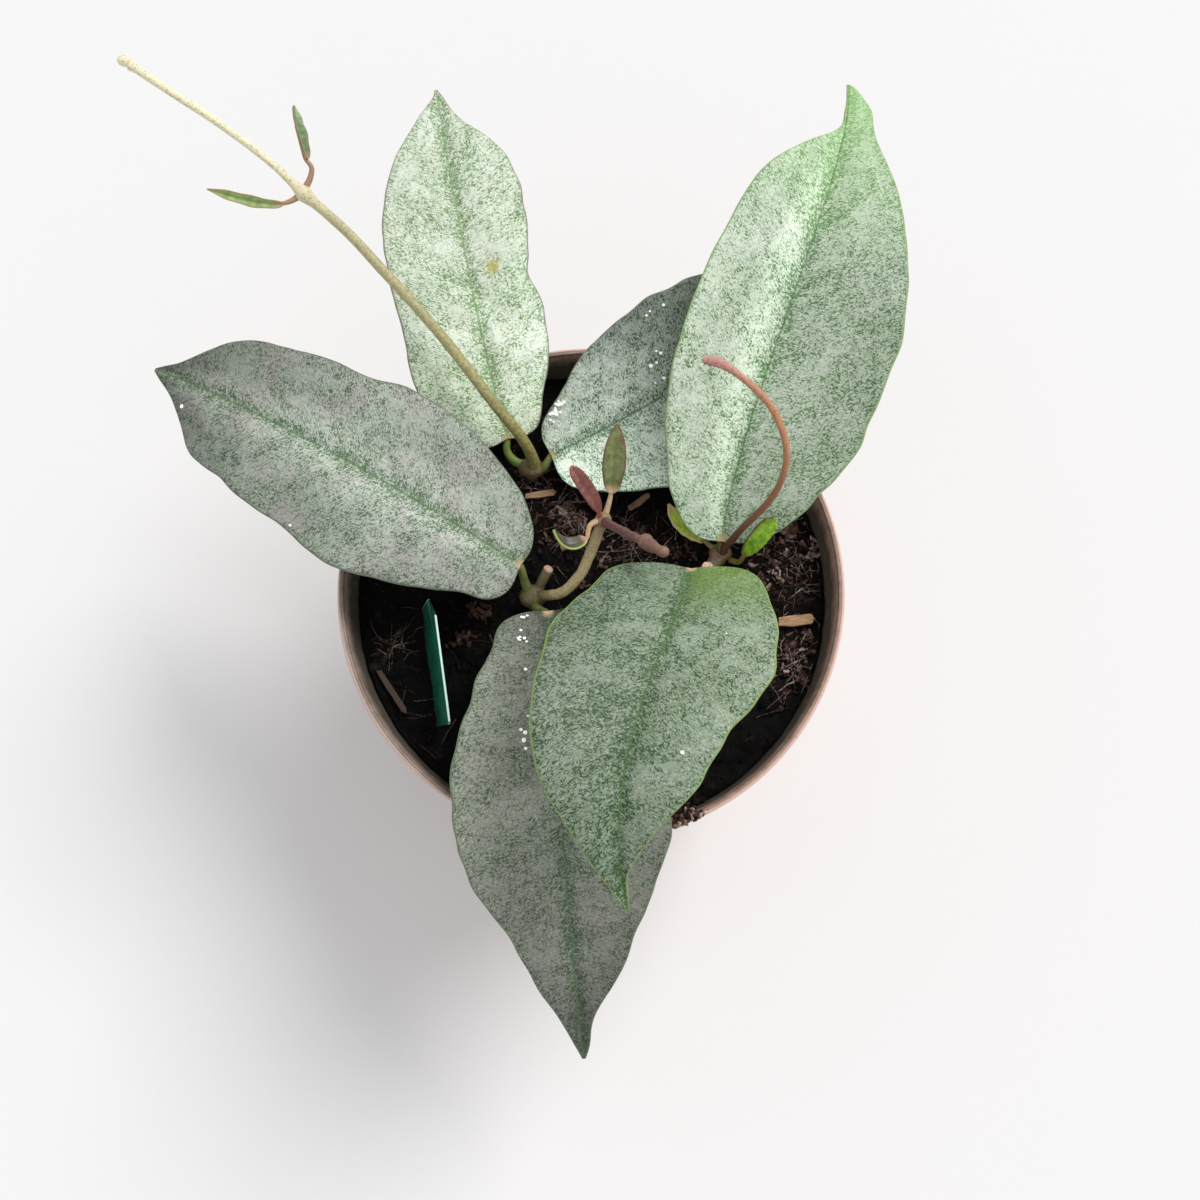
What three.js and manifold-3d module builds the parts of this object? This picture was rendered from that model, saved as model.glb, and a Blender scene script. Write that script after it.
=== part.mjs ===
// A hoya with silvery leaves in a round plastic nursery pot.
// Millimetres, +Z up. The origin is the middle of the pot's base, on the surface that the pot stands on.
// +X is to the right and +Y away from someone who stands in front of the pot.
import * as THREE from 'three';
import { mergeVertices } from 'three/addons/utils/BufferGeometryUtils.js';
import Module from 'manifold-3d';

const wasm = await Module();
wasm.setup();

// ---- driving dimensions ---------------------------------------------------------------------------------

const GAP = 0.3; // clearance between neighbouring pieces
const SEAT = 0.45; // clearance of what lies on the uneven soil
const ROUND = 2 * Math.PI;

const POT = {
  height: 100,
  rimRadius: 60, // outside of the collar
  lip: 1.6, // width of the rim's top edge
  collarHeight: 9,
  wall: 1.2,
  taper: 0.12, // how much the wall leans in per millimetre of depth
  floor: 1.6,
  padRadius: 30, // flat middle of the base, which rests on the surface
  footWidth: 2.2, // ring at the edge of the base, which rests on it too
  arch: 2, // rise of the floor between the two, where the drainage holes are
  drainHoles: 8,
  drainRadius: 4,
  drainCircle: 38,
  sides: 40,
};

const SOIL = {
  level: 89.5, // mean height of the surface
  rings: [55, 51, 45, 38, 30, 22, 14, 7], // radii of the rings of points that carry the relief
  holeFloor: 65, // how deep the stems' holes go
};

const LABEL = {
  width: 31,
  thickness: 0.8,
  topCentre: [-34.4, -18.5, 104],
  turn: -81, // degrees from +X to the top edge
  lean: 20, // degrees that it leans to the right
  shoulder: 20, // how far down the full width goes
  length: 32,
};

const LEAF = { thickness: 1.2, rows: 22, columns: 6, stalk: 1.3, stalkSides: 8 };
const YOUNG = { thickness: 0.8, rows: 9, columns: 4, stalk: 0.8, stalkSides: 6 };

// Where along the leaf, from base to tip, its half widths are given.
const STATIONS = [0, 0.015, 0.06, 0.14, 0.26, 0.4, 0.55, 0.69, 0.81, 0.91, 0.97, 1];

// Each big leaf: rib is the midrib as a cubic curve from base to tip, face the way that its upper side looks
// at base and tip, left and right its half widths at the stations, fold the angle in degrees by which the
// halves rise from the midrib at base and tip, wave the height of the edge's waves with their number and
// where they start, lobe how far the rounded lobes reach back past the stalk, and dents the notches in its
// edge. stalk lists the points of the leaf stalk, from inside the node that it grows from.
const BIG_LEAVES = {
  leaf_back_left: {
    rib: [[-20.5, 37, 98], [-26, 55, 110], [-32.5, 88, 118], [-38.5, 122.5, 114]],
    face: [[0.1, -0.25, 1], [0.1, -0.1, 1]],
    left: [0.7, 5.5, 11, 16, 18, 18.5, 19, 17.5, 13.3, 6, 1.5, 0.4],
    right: [0.7, 4.5, 8.5, 11, 14.7, 15.8, 15.2, 16.2, 13, 4.5, 1.7, 0.4],
    fold: [8, 6],
    wave: 0.8,
    waves: 2.5,
    phase: [0, 0.4],
    lobe: 7,
    dents: [{ side: 1, at: 0.47, depth: 1.8, spread: 0.035 }],
    stalk: [[-15.5, 30.8, 94.8], [-19, 32.2, 95.2], [-20.8, 34.6, 96.4]],
    node: 'back',
  },
  leaf_left: {
    rib: [[-16.5, 3.5, 104], [-40, 17, 114], [-75, 37, 118], [-106.5, 53, 103]],
    face: [[0, 0, 1], [-0.15, -0.1, 1]],
    left: [0.7, 7, 11.5, 14, 19.5, 23, 20.5, 18.5, 14, 5.5, 2, 0.4],
    right: [0.7, 5, 10, 15, 19.5, 22, 19.5, 17.5, 13.5, 6, 2, 0.4],
    fold: [8, 4],
    wave: 1.2,
    waves: 3,
    phase: [0.2, 0.55],
    lobe: 5,
    dents: [{ side: -1, at: 0.7, depth: 1, spread: 0.03 }],
    stalk: [[-14.8, -1, 95.3], [-15.8, 0.8, 99], [-16.2, 2.4, 102]],
    node: 'left',
  },
  leaf_back_right: {
    rib: [[-9.7, 32.5, 98.5], [8, 39.5, 104], [32, 51, 112], [70, 77, 106]],
    face: [[0.1, -0.35, 1], [0.1, -0.2, 1]],
    left: [0.7, 5, 8.5, 11.5, 16.5, 20.5, 21.5, 20, 14.5, 7, 2, 0.4],
    right: [0.7, 6, 10, 13.5, 17.5, 21, 21, 18.5, 13.5, 6, 2, 0.4],
    fold: [10, 6],
    wave: 1,
    waves: 2.2,
    phase: [0.1, 0.6],
    lobe: 4,
    dents: [],
    stalk: [[-14, 30.3, 94.8], [-12, 30.2, 95.3], [-10.8, 31.2, 96.8]],
    node: 'back',
  },
  leaf_right: {
    rib: [[31, 10.5, 100], [34.5, 40, 124], [60.5, 89, 136], [61.5, 117, 125]],
    face: [[0, -0.3, 1], [0.1, -0.15, 1]],
    left: [0.7, 5.5, 10.5, 15.5, 20, 21.8, 19.6, 15, 4.2, 0.8, 0.5, 0.4],
    right: [0.7, 6, 12.5, 18.8, 24.4, 26.2, 23.7, 16.7, 7.8, 4.3, 2, 0.4],
    fold: [13, 9],
    wave: 1,
    waves: 2.7,
    phase: [0.3, 0.1],
    lobe: 4,
    dents: [],
    stalk: [[31.2, 9, 95.5], [31, 9.4, 97.5]],
    node: 'right',
  },
  leaf_front: {
    rib: [[22, -3, 124], [17, -21, 142], [0, -48, 162], [7.5, -74.5, 138]],
    face: [[-0.2, 0.1, 1], [0, -0.4, 1]],
    left: [0.7, 5, 12.5, 17.5, 21.5, 22, 17.5, 13.7, 7, 1.6, 0.8, 0.4],
    right: [0.7, 6, 11, 16.5, 19, 21.5, 20.5, 17, 9, 3.8, 1.2, 0.4],
    fold: [8, 14],
    wave: 0.6,
    waves: 2.4,
    phase: [0.5, 0.15],
    lobe: 8,
    dents: [],
    stalk: [[27, 2.8, 95], [25, -0.6, 98.5], [23.3, -3.2, 106], [22.4, -3.9, 116], [22.1, -3.6, 121.5]],
    node: 'rightLow',
  },
  leaf_front_low: {
    rib: [[-10, -7.5, 102], [-7, -35, 116], [-6, -70, 116], [-1.5, -108, 88]],
    face: [[0, 0.1, 1], [0, -0.3, 1]],
    left: [0.7, 6, 11, 15, 20, 23, 23.5, 18, 11.2, 3.7, 1.8, 0.4],
    right: [0.7, 6, 11.5, 14, 18.5, 23.5, 23, 17, 9.9, 4.3, 1.6, 0.4],
    fold: [8, 6],
    wave: 1,
    waves: 3.1,
    phase: [0.7, 0.35],
    lobe: 5,
    dents: [],
    stalk: [[-13.6, -3.8, 94.6], [-12.7, -5.6, 97], [-11.3, -6.7, 99.6]],
    node: 'left',
  },
};

// A young leaf is slim: these half widths are multiplied by its own widest half width.
const YOUNG_OUTLINE = [0.15, 0.35, 0.56, 0.74, 0.9, 1, 0.97, 0.86, 0.66, 0.4, 0.22, 0.14];

const YOUNG_LEAVES = {
  shoot_leaf_up: {
    rib: [[-63.9, 91.3, 133], [-64.4, 94.5, 135], [-66, 98.5, 137.5], [-66.7, 101.6, 137.5]],
    face: [[0.9, -0.3, 0.6], [0.9, -0.3, 0.6]],
    half: 2,
    fold: 25,
    stalk: [[-65, 85.6, 130.3], [-63.9, 87.6, 131], [-63.5, 89.6, 132]],
    node: 'shoot',
    colour: 'freshGreen',
  },
  shoot_leaf_left: {
    rib: [[-70.1, 82.1, 129.2], [-75, 80.8, 130], [-81, 82, 132], [-87.2, 84.6, 131.5]],
    face: [[0.3, -0.7, 0.7], [0.2, -0.6, 0.8]],
    half: 2,
    fold: 25,
    stalk: [[-66.6, 83.7, 129.6], [-68.4, 82.8, 129.2]],
    node: 'shoot',
    colour: 'freshGreen',
  },
  small_leaf_left: {
    rib: [[27.6, 11.8, 97.2], [24.5, 13.8, 97.8], [21, 15, 98.5], [19, 18.4, 101.5]],
    face: [[0.2, 0.2, 1], [0.3, 0.2, 0.9]],
    half: 2.2,
    fold: 22,
    stalk: [[30.2, 9.7, 95.2], [28.8, 10.8, 96.3]],
    node: 'right',
    colour: 'freshGreen',
  },
  small_leaf_right: {
    rib: [[36.2, 6.5, 101.8], [38, 7.2, 106], [40.2, 9.4, 109.5], [42.4, 12, 111.5]],
    face: [[-0.3, -0.4, 1], [-0.3, -0.4, 1]],
    half: 2.9,
    fold: 10,
    stalk: [[33.5, 7.2, 94.5], [35.2, 6, 97], [35.8, 6.1, 99.8]],
    node: 'right',
    colour: 'freshGreen',
  },
  young_leaf_up: {
    rib: [[4.7, 18.4, 112.6], [5.2, 22.5, 116.5], [5.6, 27, 120], [6.1, 31.5, 122]],
    face: [[0, -0.5, 1], [0, -0.4, 1]],
    half: 2.7,
    fold: 16,
    stalk: [[3.3, 14.2, 108.7], [4.1, 16.3, 110.6]],
    node: 'young',
    colour: 'bronzeGreen',
  },
  young_leaf_curled: {
    rib: [[-1, 8.3, 110], [-3.5, 5.9, 109.6], [-7, 5.5, 110.5], [-8.4, 9.3, 113.5]],
    face: [[0.2, 0.4, 1], [0.5, 0.5, 0.7]],
    half: 1.9,
    fold: 20,
    stalk: [[1.8, 12.8, 109.4], [-0.2, 11.2, 110.3]],
    node: 'young',
    colour: 'freshGreen',
  },
  young_leaf_red: {
    rib: [[1.9, 14, 112.6], [0.8, 14.9, 119], [-1.6, 16.2, 127], [-4, 17.2, 134]],
    face: [[0.5, -0.8, 0.4], [0.5, -0.8, 0.4]],
    half: 2.1,
    fold: 16,
    stalk: [[2.2, 13.4, 109.5], [2, 13.7, 111]],
    node: 'young',
    colour: 'dustyRed',
  },
};

// Swollen nodes of the stems, each an ellipsoid: centre and half lengths.
const NODES = {
  back: { at: [-14.8, 30.5, 94.8], half: [3.4, 2.6, 2.5] },
  left: { at: [-14, -2, 95], half: [3.4, 3, 2.6] },
  right: { at: [31.2, 9, 94.8], half: [3.6, 2.8, 2.5] },
  rightLow: { at: [27.4, 3.6, 95], half: [2.3, 2.3, 2.1] },
  young: { at: [2.8, 12.9, 108.7], half: [2.1, 2.1, 2.1] },
  shoot: { at: [-65.6, 84.3, 130], half: [2.2, 2.3, 2] },
};

// Stems that stand in the soil: foot is where they stand, radius their thickness under ground.
const STEMS = {
  stem_back: { foot: [-15.2, 30.2], radius: 2, nodes: ['back'], branches: [] },
  stem_left: {
    foot: [-14, -2],
    radius: 2.2,
    nodes: ['left', 'young'],
    branches: [
      { radius: 1.25, points: [[-13, -0.8, 95], [-11.4, 1.8, 97.4], [-10, 3.8, 100]] },
      {
        radius: 1.3,
        points: [
          [-12.4, -1.9, 96], [-10, -2.6, 99], [-6.6, -2.5, 102], [-2.6, 1, 104.2], [0.2, 6.6, 106.3],
          [1.4, 9.8, 107.6], [2.7, 12.7, 108.6],
        ],
      },
    ],
  },
  stem_right: {
    foot: [30.6, 7.8],
    radius: 2.1,
    nodes: ['right', 'rightLow'],
    branches: [
      { radius: 1.7, points: [[31, 8.4, 94.6], [29.4, 6.2, 94.9], [27.4, 3.6, 95]] },
      { radius: 1.5, points: [[27.5, 3.9, 95], [27.6, 4.2, 97], [27.8, 4.5, 98.6]] },
    ],
  },
};

const LONG_SHOOT = {
  lowerRadius: 1.3,
  upperRadius: 0.95,
  lower: [
    [-14.2, 30.8, 95.5], [-14.4, 31.7, 99], [-16, 34.3, 104.5], [-22.6, 41.7, 111], [-35.2, 56.7, 117.5],
    [-47.9, 69.3, 122.5], [-56.5, 77.3, 126.5], [-65.6, 84.3, 130],
  ],
  upper: [
    [-65.6, 84.3, 130], [-72.7, 90.1, 133.5], [-83.5, 96.5, 139], [-94.5, 101.6, 145], [-100.5, 104.6, 148.2],
  ],
  bud: { at: [-101.2, 105, 148.6], half: [1.6, 1.3, 1.2] },
};

const FLOWER_STALK = {
  radius: 0.85,
  points: [
    [32.6, 8, 95.5], [33.3, 7.6, 99], [33.9, 8.2, 103], [35.4, 10.8, 108.5], [40.3, 14.9, 118],
    [42.5, 18.9, 127], [41.7, 23.3, 134], [37.8, 28.8, 140], [32.4, 33.2, 143], [27.1, 36.6, 144],
    [24.6, 37.3, 143.4],
  ],
  scars: [
    { at: [27.2, 36.5, 144], half: [1.6, 1.3, 1.2] },
    { at: [24.3, 37.4, 143.3], half: [1, 1, 0.9] },
  ],
};

const RED_SHOOT = {
  radius: 1.15,
  points: [[3.3, 12.3, 109.6], [4, 11, 112.5], [6.6, 7, 121], [10.6, 1.6, 132], [14.7, -2.5, 138.5]],
  knob: { at: [11.6, 0.8, 134], half: [2.2, 2.1, 2.1] },
  bud: { at: [15.1, -2.8, 138.8], half: [1.6, 1.5, 1.5] },
};

// Wood chips that lie on the soil: centre, length, width, thickness and turn in degrees.
const CHIPS = {
  chip_right: { at: [49.6, -7], size: [8, 3.1, 1], turn: 4 },
  chip_back: { at: [-12.6, 24.6], size: [8, 1.7, 0.8], turn: 8 },
  chip_middle: { at: [-4.6, 12.4], size: [6.5, 2, 0.9], turn: 28 },
  chip_back_right: { at: [12, 23.4], size: [6.5, 1.6, 0.8], turn: 35 },
  chip_left: { at: [-47.4, -24.5], size: [9, 1.4, 0.8], turn: -58 },
};

const LOOKS = {
  potPlastic: { color: 0xb9897c, roughness: 0.55 },
  peat: { color: 0x2a211d, roughness: 1 },
  wood: { color: 0xb08763, roughness: 0.85 },
  labelPlastic: { color: 0x1c6a55, roughness: 0.4 },
  silverLeaf: { color: 0x9db3a0, roughness: 0.5 },
  freshGreen: { color: 0x7f9f4a, roughness: 0.5 },
  bronzeGreen: { color: 0x6c6d40, roughness: 0.5 },
  dustyRed: { color: 0x8c5450, roughness: 0.55 },
  stemGreen: { color: 0x5f5c3c, roughness: 0.6 },
  shootOlive: { color: 0x8d8748, roughness: 0.6 },
  stalkBrown: { color: 0x8a5b4c, roughness: 0.55 },
};

// ---- helpers --------------------------------------------------------------------------------------------

const vector = (p) => new THREE.Vector3(...p);
const radians = THREE.MathUtils.degToRad;

// A closed geometry as a solid that can be joined and cut.
function solidOf(geometry) {
  const bare = geometry.clone();
  bare.deleteAttribute('normal');
  bare.deleteAttribute('uv');
  const merged = mergeVertices(bare, 1e-4);
  return new wasm.Manifold(new wasm.Mesh({
    numProp: 3,
    vertProperties: merged.attributes.position.array,
    triVerts: new Uint32Array(merged.index.array),
  }));
}

// A solid back as a geometry.
function geometryOf(solid) {
  const mesh = solid.getMesh();
  const geometry = new THREE.BufferGeometry();
  geometry.setAttribute('position', new THREE.BufferAttribute(mesh.vertProperties, 3));
  geometry.setIndex(new THREE.BufferAttribute(mesh.triVerts, 1));
  geometry.computeVertexNormals();
  return geometry;
}

const plant = new THREE.Group();

// One named sub-part with its own material.
function addPiece(name, solid, look) {
  const material = new THREE.MeshStandardMaterial({ metalness: 0, ...LOOKS[look] });
  const mesh = new THREE.Mesh(geometryOf(solid), material);
  mesh.name = name;
  plant.add(mesh);
}

// A round rod along a smooth curve through the points.
function rod(points, radius, sides = 8) {
  const corner = (k) => new THREE.Vector2(
    radius * Math.cos((ROUND * k) / sides),
    radius * Math.sin((ROUND * k) / sides),
  );
  const section = new THREE.Shape(Array.from({ length: sides }, (_, k) => corner(k)));
  const extrudePath = new THREE.CatmullRomCurve3(points.map(vector));
  const steps = 2 * (points.length - 1);
  return solidOf(new THREE.ExtrudeGeometry(section, { steps, extrudePath }));
}

// A rounded swelling, or its clearance space when it is grown.
function swelling({ at, half }, grow = 0) {
  const ball = new THREE.SphereGeometry(1, 10, 8);
  ball.scale(...half.map((h) => h + grow));
  ball.translate(...at);
  return solidOf(ball);
}

// A closed profile of radius and height turned round the pot's axis.
function turned(profile) {
  const points = profile.map(([radius, height]) => new THREE.Vector2(radius, height));
  return new THREE.LatheGeometry(points, POT.sides).rotateX(Math.PI / 2);
}

// The value at s, from 0 to 1, of a smooth curve through evenly spaced values.
function smooth(values, s) {
  const last = values.length - 1;
  const place = THREE.MathUtils.clamp(s, 0, 1) * last;
  const k = Math.min(Math.floor(place), last - 1);
  const f = place - k;
  const value = (i) => values[THREE.MathUtils.clamp(i, 0, last)];
  const [a, b, c, d] = [value(k - 1), value(k), value(k + 1), value(k + 2)];
  const bend = 2 * a - 5 * b + 4 * c - d;
  return 0.5 * (2 * b + (c - a) * f + bend * f * f + (3 * b - a - 3 * c + d) * f ** 3);
}

// ---- leaves ---------------------------------------------------------------------------------------------

// The directions along, across and out of the upper side of the leaf at the share t of its midrib.
function frameAt(leaf, t) {
  const rib = new THREE.CubicBezierCurve3(...leaf.rib.map(vector));
  const along = rib.getTangent(t);
  const looks = vector(leaf.face[0]).lerp(vector(leaf.face[1]), t);
  const up = looks.addScaledVector(along, -looks.dot(along)).normalize();
  return { point: rib.getPoint(t), along, across: new THREE.Vector3().crossVectors(along, up), up };
}

// A point of the leaf: s runs from base to tip, v from the left edge, -1, to the right, 1, and lift is the
// height over the middle of the blade's thickness.
function leafPoint(leaf, s, v, lift) {
  const t = smooth(STATIONS, s);
  const { point, along, across, up } = frameAt(leaf, t);
  const side = Math.sign(v);
  const u = Math.abs(v);
  const widths = side < 0 ? leaf.left : leaf.right;
  let width = Math.max(smooth(widths, s), widths.at(-1));
  for (const dent of leaf.dents) {
    if (dent.side === side) width -= dent.depth * Math.exp(-(((t - dent.at) / dent.spread) ** 2));
  }
  const fold = Math.tan(radians(THREE.MathUtils.lerp(leaf.fold[0], leaf.fold[1], t)));
  const turn = leaf.waves * t + leaf.phase[side < 0 ? 0 : 1];
  const ripple = leaf.wave * u * u * Math.sin(ROUND * turn) * 4 * t * (1 - t);
  const reach = width / Math.max(...leaf.left, ...leaf.right);
  const back = leaf.lobe * reach * (1 - t) ** 4 * u * u;
  return point
    .addScaledVector(across, side * width * u)
    .addScaledVector(up, width * fold * u + ripple + lift)
    .addScaledVector(along, -back);
}

// The blade: two alike faces half a thickness above and below its middle, closed along the edge.
function blade(leaf, { thickness, rows, columns }) {
  const upper = [];
  const lower = [];
  for (let r = 0; r <= rows; r += 1) {
    for (let c = 0; c <= columns; c += 1) {
      const [s, v] = [r / rows, (2 * c) / columns - 1];
      upper.push(...leafPoint(leaf, s, v, thickness / 2));
      lower.push(...leafPoint(leaf, s, v, -thickness / 2));
    }
  }
  const row = columns + 1;
  const under = (rows + 1) * row;
  const faces = [];
  const wall = (i, j) => faces.push(i, j, j + under, i, j + under, i + under);
  for (let r = 0; r < rows; r += 1) {
    for (let c = 0; c < columns; c += 1) {
      const [a, b, d] = [r * row + c, r * row + c + 1, (r + 1) * row + c];
      faces.push(a, b, d + 1, a, d + 1, d);
      faces.push(a + under, d + 1 + under, b + under, a + under, d + under, d + 1 + under);
    }
    wall(r * row, (r + 1) * row);
    wall((r + 1) * row + columns, r * row + columns);
  }
  for (let c = 0; c < columns; c += 1) {
    wall(c + 1, c);
    wall(rows * row + c, rows * row + c + 1);
  }
  const geometry = new THREE.BufferGeometry();
  geometry.setAttribute('position', new THREE.Float32BufferAttribute([...upper, ...lower], 3));
  geometry.setIndex(faces);
  return solidOf(geometry);
}

// A blade with its leaf stalk, which ends just clear of the node that it grows from.
function wholeLeaf(leaf, build) {
  const { point, along, up } = frameAt(leaf, 0);
  const under = point.addScaledVector(up, -0.15 * build.stalk);
  const end = under.clone().addScaledVector(along, 4 * build.stalk).addScaledVector(up, -0.5 * build.stalk);
  const stalk = rod([...leaf.stalk, [...under], [...end]], build.stalk, build.stalkSides);
  return blade(leaf, build).add(stalk).subtract(swelling(NODES[leaf.node], GAP));
}

function addLeaves() {
  for (const [name, leaf] of Object.entries(BIG_LEAVES)) {
    addPiece(name, wholeLeaf(leaf, LEAF), 'silverLeaf');
  }
  for (const [name, young] of Object.entries(YOUNG_LEAVES)) {
    const widths = YOUNG_OUTLINE.map((part) => part * young.half);
    const plain = { wave: 0, waves: 0, phase: [0, 0], lobe: 0, dents: [] };
    const leaf = { ...young, ...plain, left: widths, right: widths, fold: [young.fold, young.fold] };
    addPiece(name, wholeLeaf(leaf, YOUNG), young.colour);
  }
}

// ---- pot ------------------------------------------------------------------------------------------------

// Radius of the pot's inner wall at a height.
const innerRadius = (z) => POT.rimRadius - POT.lip - POT.taper * (POT.height - z);

function addPot() {
  const collarFoot = POT.height - POT.collarHeight;
  const outer = (z) => innerRadius(z) + POT.wall;
  const soft = 0.6; // how far the rim's two edges are rounded off
  const footInside = outer(0) - POT.footWidth;
  const shell = turned([
    [0, 0],
    [POT.padRadius, 0],
    [POT.padRadius + POT.arch, POT.arch],
    [footInside - POT.arch, POT.arch],
    [footInside, 0],
    [outer(0), 0],
    [outer(collarFoot), collarFoot],
    [POT.rimRadius - soft, collarFoot + soft],
    [POT.rimRadius, POT.height - soft],
    [POT.rimRadius - soft / 2, POT.height],
    [POT.rimRadius - POT.lip + soft / 2, POT.height],
    [POT.rimRadius - POT.lip, POT.height - soft],
    [innerRadius(POT.arch + POT.floor), POT.arch + POT.floor],
    [POT.padRadius + POT.arch - POT.floor, POT.arch + POT.floor],
    [POT.padRadius - POT.floor, POT.floor],
    [0, POT.floor],
  ]);
  let pot = solidOf(shell);
  for (let k = 0; k < POT.drainHoles; k += 1) {
    const turn = (ROUND * (k + 0.5)) / POT.drainHoles;
    const drill = new THREE.CylinderGeometry(POT.drainRadius, POT.drainRadius, 4 * POT.arch, 12)
      .rotateX(Math.PI / 2)
      .translate(POT.drainCircle * Math.cos(turn), POT.drainCircle * Math.sin(turn), POT.arch);
    pot = pot.subtract(solidOf(drill));
  }
  addPiece('pot', pot, 'potPlastic');
}

// ---- soil and what lies on it or stands in it -----------------------------------------------------------

// Height of the lumpy soil surface, level where it meets the wall.
function soilTop(x, y) {
  const lumps = 0.9 * Math.sin(0.16 * x + 1) * Math.cos(0.13 * y - 0.5)
    + 0.5 * Math.sin(0.31 * x - 0.27 * y)
    + 0.3 * Math.sin(0.23 * x + 0.42 * y + 2);
  const edge = THREE.MathUtils.clamp((innerRadius(SOIL.level) - Math.hypot(x, y)) / 8, 0, 1);
  return SOIL.level + lumps * edge;
}

// The label's outline in its own plane, with its top edge at height 0, grown all round for its slot.
function labelOutline(grow) {
  const half = LABEL.width / 2 + grow;
  const corner = 3;
  const tip = 3 + grow;
  return new THREE.Shape([
    new THREE.Vector2(-half + corner, grow),
    new THREE.Vector2(-half, -corner),
    new THREE.Vector2(-half, -LABEL.shoulder),
    new THREE.Vector2(-tip, -LABEL.length - grow),
    new THREE.Vector2(tip, -LABEL.length - grow),
    new THREE.Vector2(half, -LABEL.shoulder),
    new THREE.Vector2(half, -1),
    new THREE.Vector2(half - 1, grow),
  ]);
}

function labelSolid(grow) {
  const depth = LABEL.thickness + 2 * grow;
  const plate = new THREE.ExtrudeGeometry(labelOutline(grow), { depth, bevelEnabled: false })
    .translate(0, 0, -depth / 2)
    .rotateX(Math.PI / 2 - radians(LABEL.lean))
    .rotateZ(radians(LABEL.turn))
    .translate(...LABEL.topCentre);
  return solidOf(plate);
}

function addSoil() {
  const bottom = POT.floor + GAP;
  const shelf = POT.arch + POT.floor + GAP;
  const wallAt = (z) => innerRadius(z) - GAP;
  const shape = turned([
    [0, bottom],
    [POT.padRadius - POT.floor - 2 * GAP, bottom],
    [POT.padRadius + POT.arch - POT.floor - 2 * GAP, shelf],
    [wallAt(shelf), shelf],
    [wallAt(SOIL.level), SOIL.level],
    ...SOIL.rings.map((radius) => [radius, SOIL.level]),
    [0, SOIL.level],
  ]);
  const points = shape.attributes.position;
  for (let i = 0; i < points.count; i += 1) {
    if (points.getZ(i) > SOIL.level - GAP) points.setZ(i, soilTop(points.getX(i), points.getY(i)));
  }
  let soil = solidOf(shape).subtract(labelSolid(GAP));
  for (const { foot, radius } of Object.values(STEMS)) {
    const [x, y] = foot;
    const hole = rod([[x, y, SOIL.holeFloor - GAP], [x, y, SOIL.level + 5]], radius + GAP);
    soil = soil.subtract(hole);
  }
  addPiece('soil', soil, 'peat');
}

// A chip is a thin slip of wood with ragged ends, which rests on the highest lump under its corners.
function addChips() {
  const ragged = [[-0.5, -0.35], [-0.1, -0.5], [0.42, -0.42], [0.5, 0.1], [0.4, 0.5], [-0.46, 0.4]];
  for (const [name, { at, size, turn }] of Object.entries(CHIPS)) {
    const [length, width, thickness] = size;
    const corners = ragged.map(([x, y]) => new THREE.Vector2(x * length, y * width)
      .rotateAround(new THREE.Vector2(), radians(turn))
      .add(new THREE.Vector2(...at)));
    const highest = Math.max(...corners.map(({ x, y }) => soilTop(x, y)));
    const outline = new THREE.Shape(corners);
    const chip = new THREE.ExtrudeGeometry(outline, { depth: thickness, bevelEnabled: false })
      .translate(0, 0, highest + SEAT);
    addPiece(name, solidOf(chip), 'wood');
  }
}

// ---- stems and shoots -----------------------------------------------------------------------------------

function addStems() {
  for (const [name, { foot, radius, nodes, branches }] of Object.entries(STEMS)) {
    const [x, y] = foot;
    const crown = NODES[nodes[0]].at[2];
    let stem = rod([[x, y, SOIL.holeFloor], [x, y, crown]], radius);
    for (const node of nodes) stem = stem.add(swelling(NODES[node]));
    for (const branch of branches) stem = stem.add(rod(branch.points, branch.radius));
    addPiece(name, stem, 'stemGreen');
  }
}

function addShoots() {
  const long = rod(LONG_SHOOT.lower, LONG_SHOOT.lowerRadius)
    .add(rod(LONG_SHOOT.upper, LONG_SHOOT.upperRadius))
    .add(swelling(NODES.shoot))
    .add(swelling(LONG_SHOOT.bud))
    .subtract(swelling(NODES.back, GAP));
  addPiece('long_shoot', long, 'shootOlive');

  let flower = rod(FLOWER_STALK.points, FLOWER_STALK.radius);
  for (const scar of FLOWER_STALK.scars) flower = flower.add(swelling(scar));
  addPiece('flower_stalk', flower.subtract(swelling(NODES.right, GAP)), 'stalkBrown');

  const red = rod(RED_SHOOT.points, RED_SHOOT.radius)
    .add(swelling(RED_SHOOT.knob))
    .add(swelling(RED_SHOOT.bud))
    .subtract(swelling(NODES.young, GAP));
  addPiece('red_shoot_tip', red, 'dustyRed');
}

addPot();
addSoil();
addPiece('plant_label', labelSolid(0), 'labelPlastic');
addChips();
addStems();
addShoots();
addLeaves();

export default plant;
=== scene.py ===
"""A young hoya with silvery leaves in its nursery pot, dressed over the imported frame.

Lengths are in millimetres in the frame's own axes: +X to the right, +Y away from someone who stands in
front, +Z up, with the origin in the middle of the pot's base. Each finished mesh is scaled to metres.
"""
import math
import random

import bmesh
import bpy
from bpy.props import FloatProperty, FloatVectorProperty, IntProperty, PointerProperty
from mathutils import Matrix, Vector, noise
from mathutils.geometry import interpolate_bezier


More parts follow.
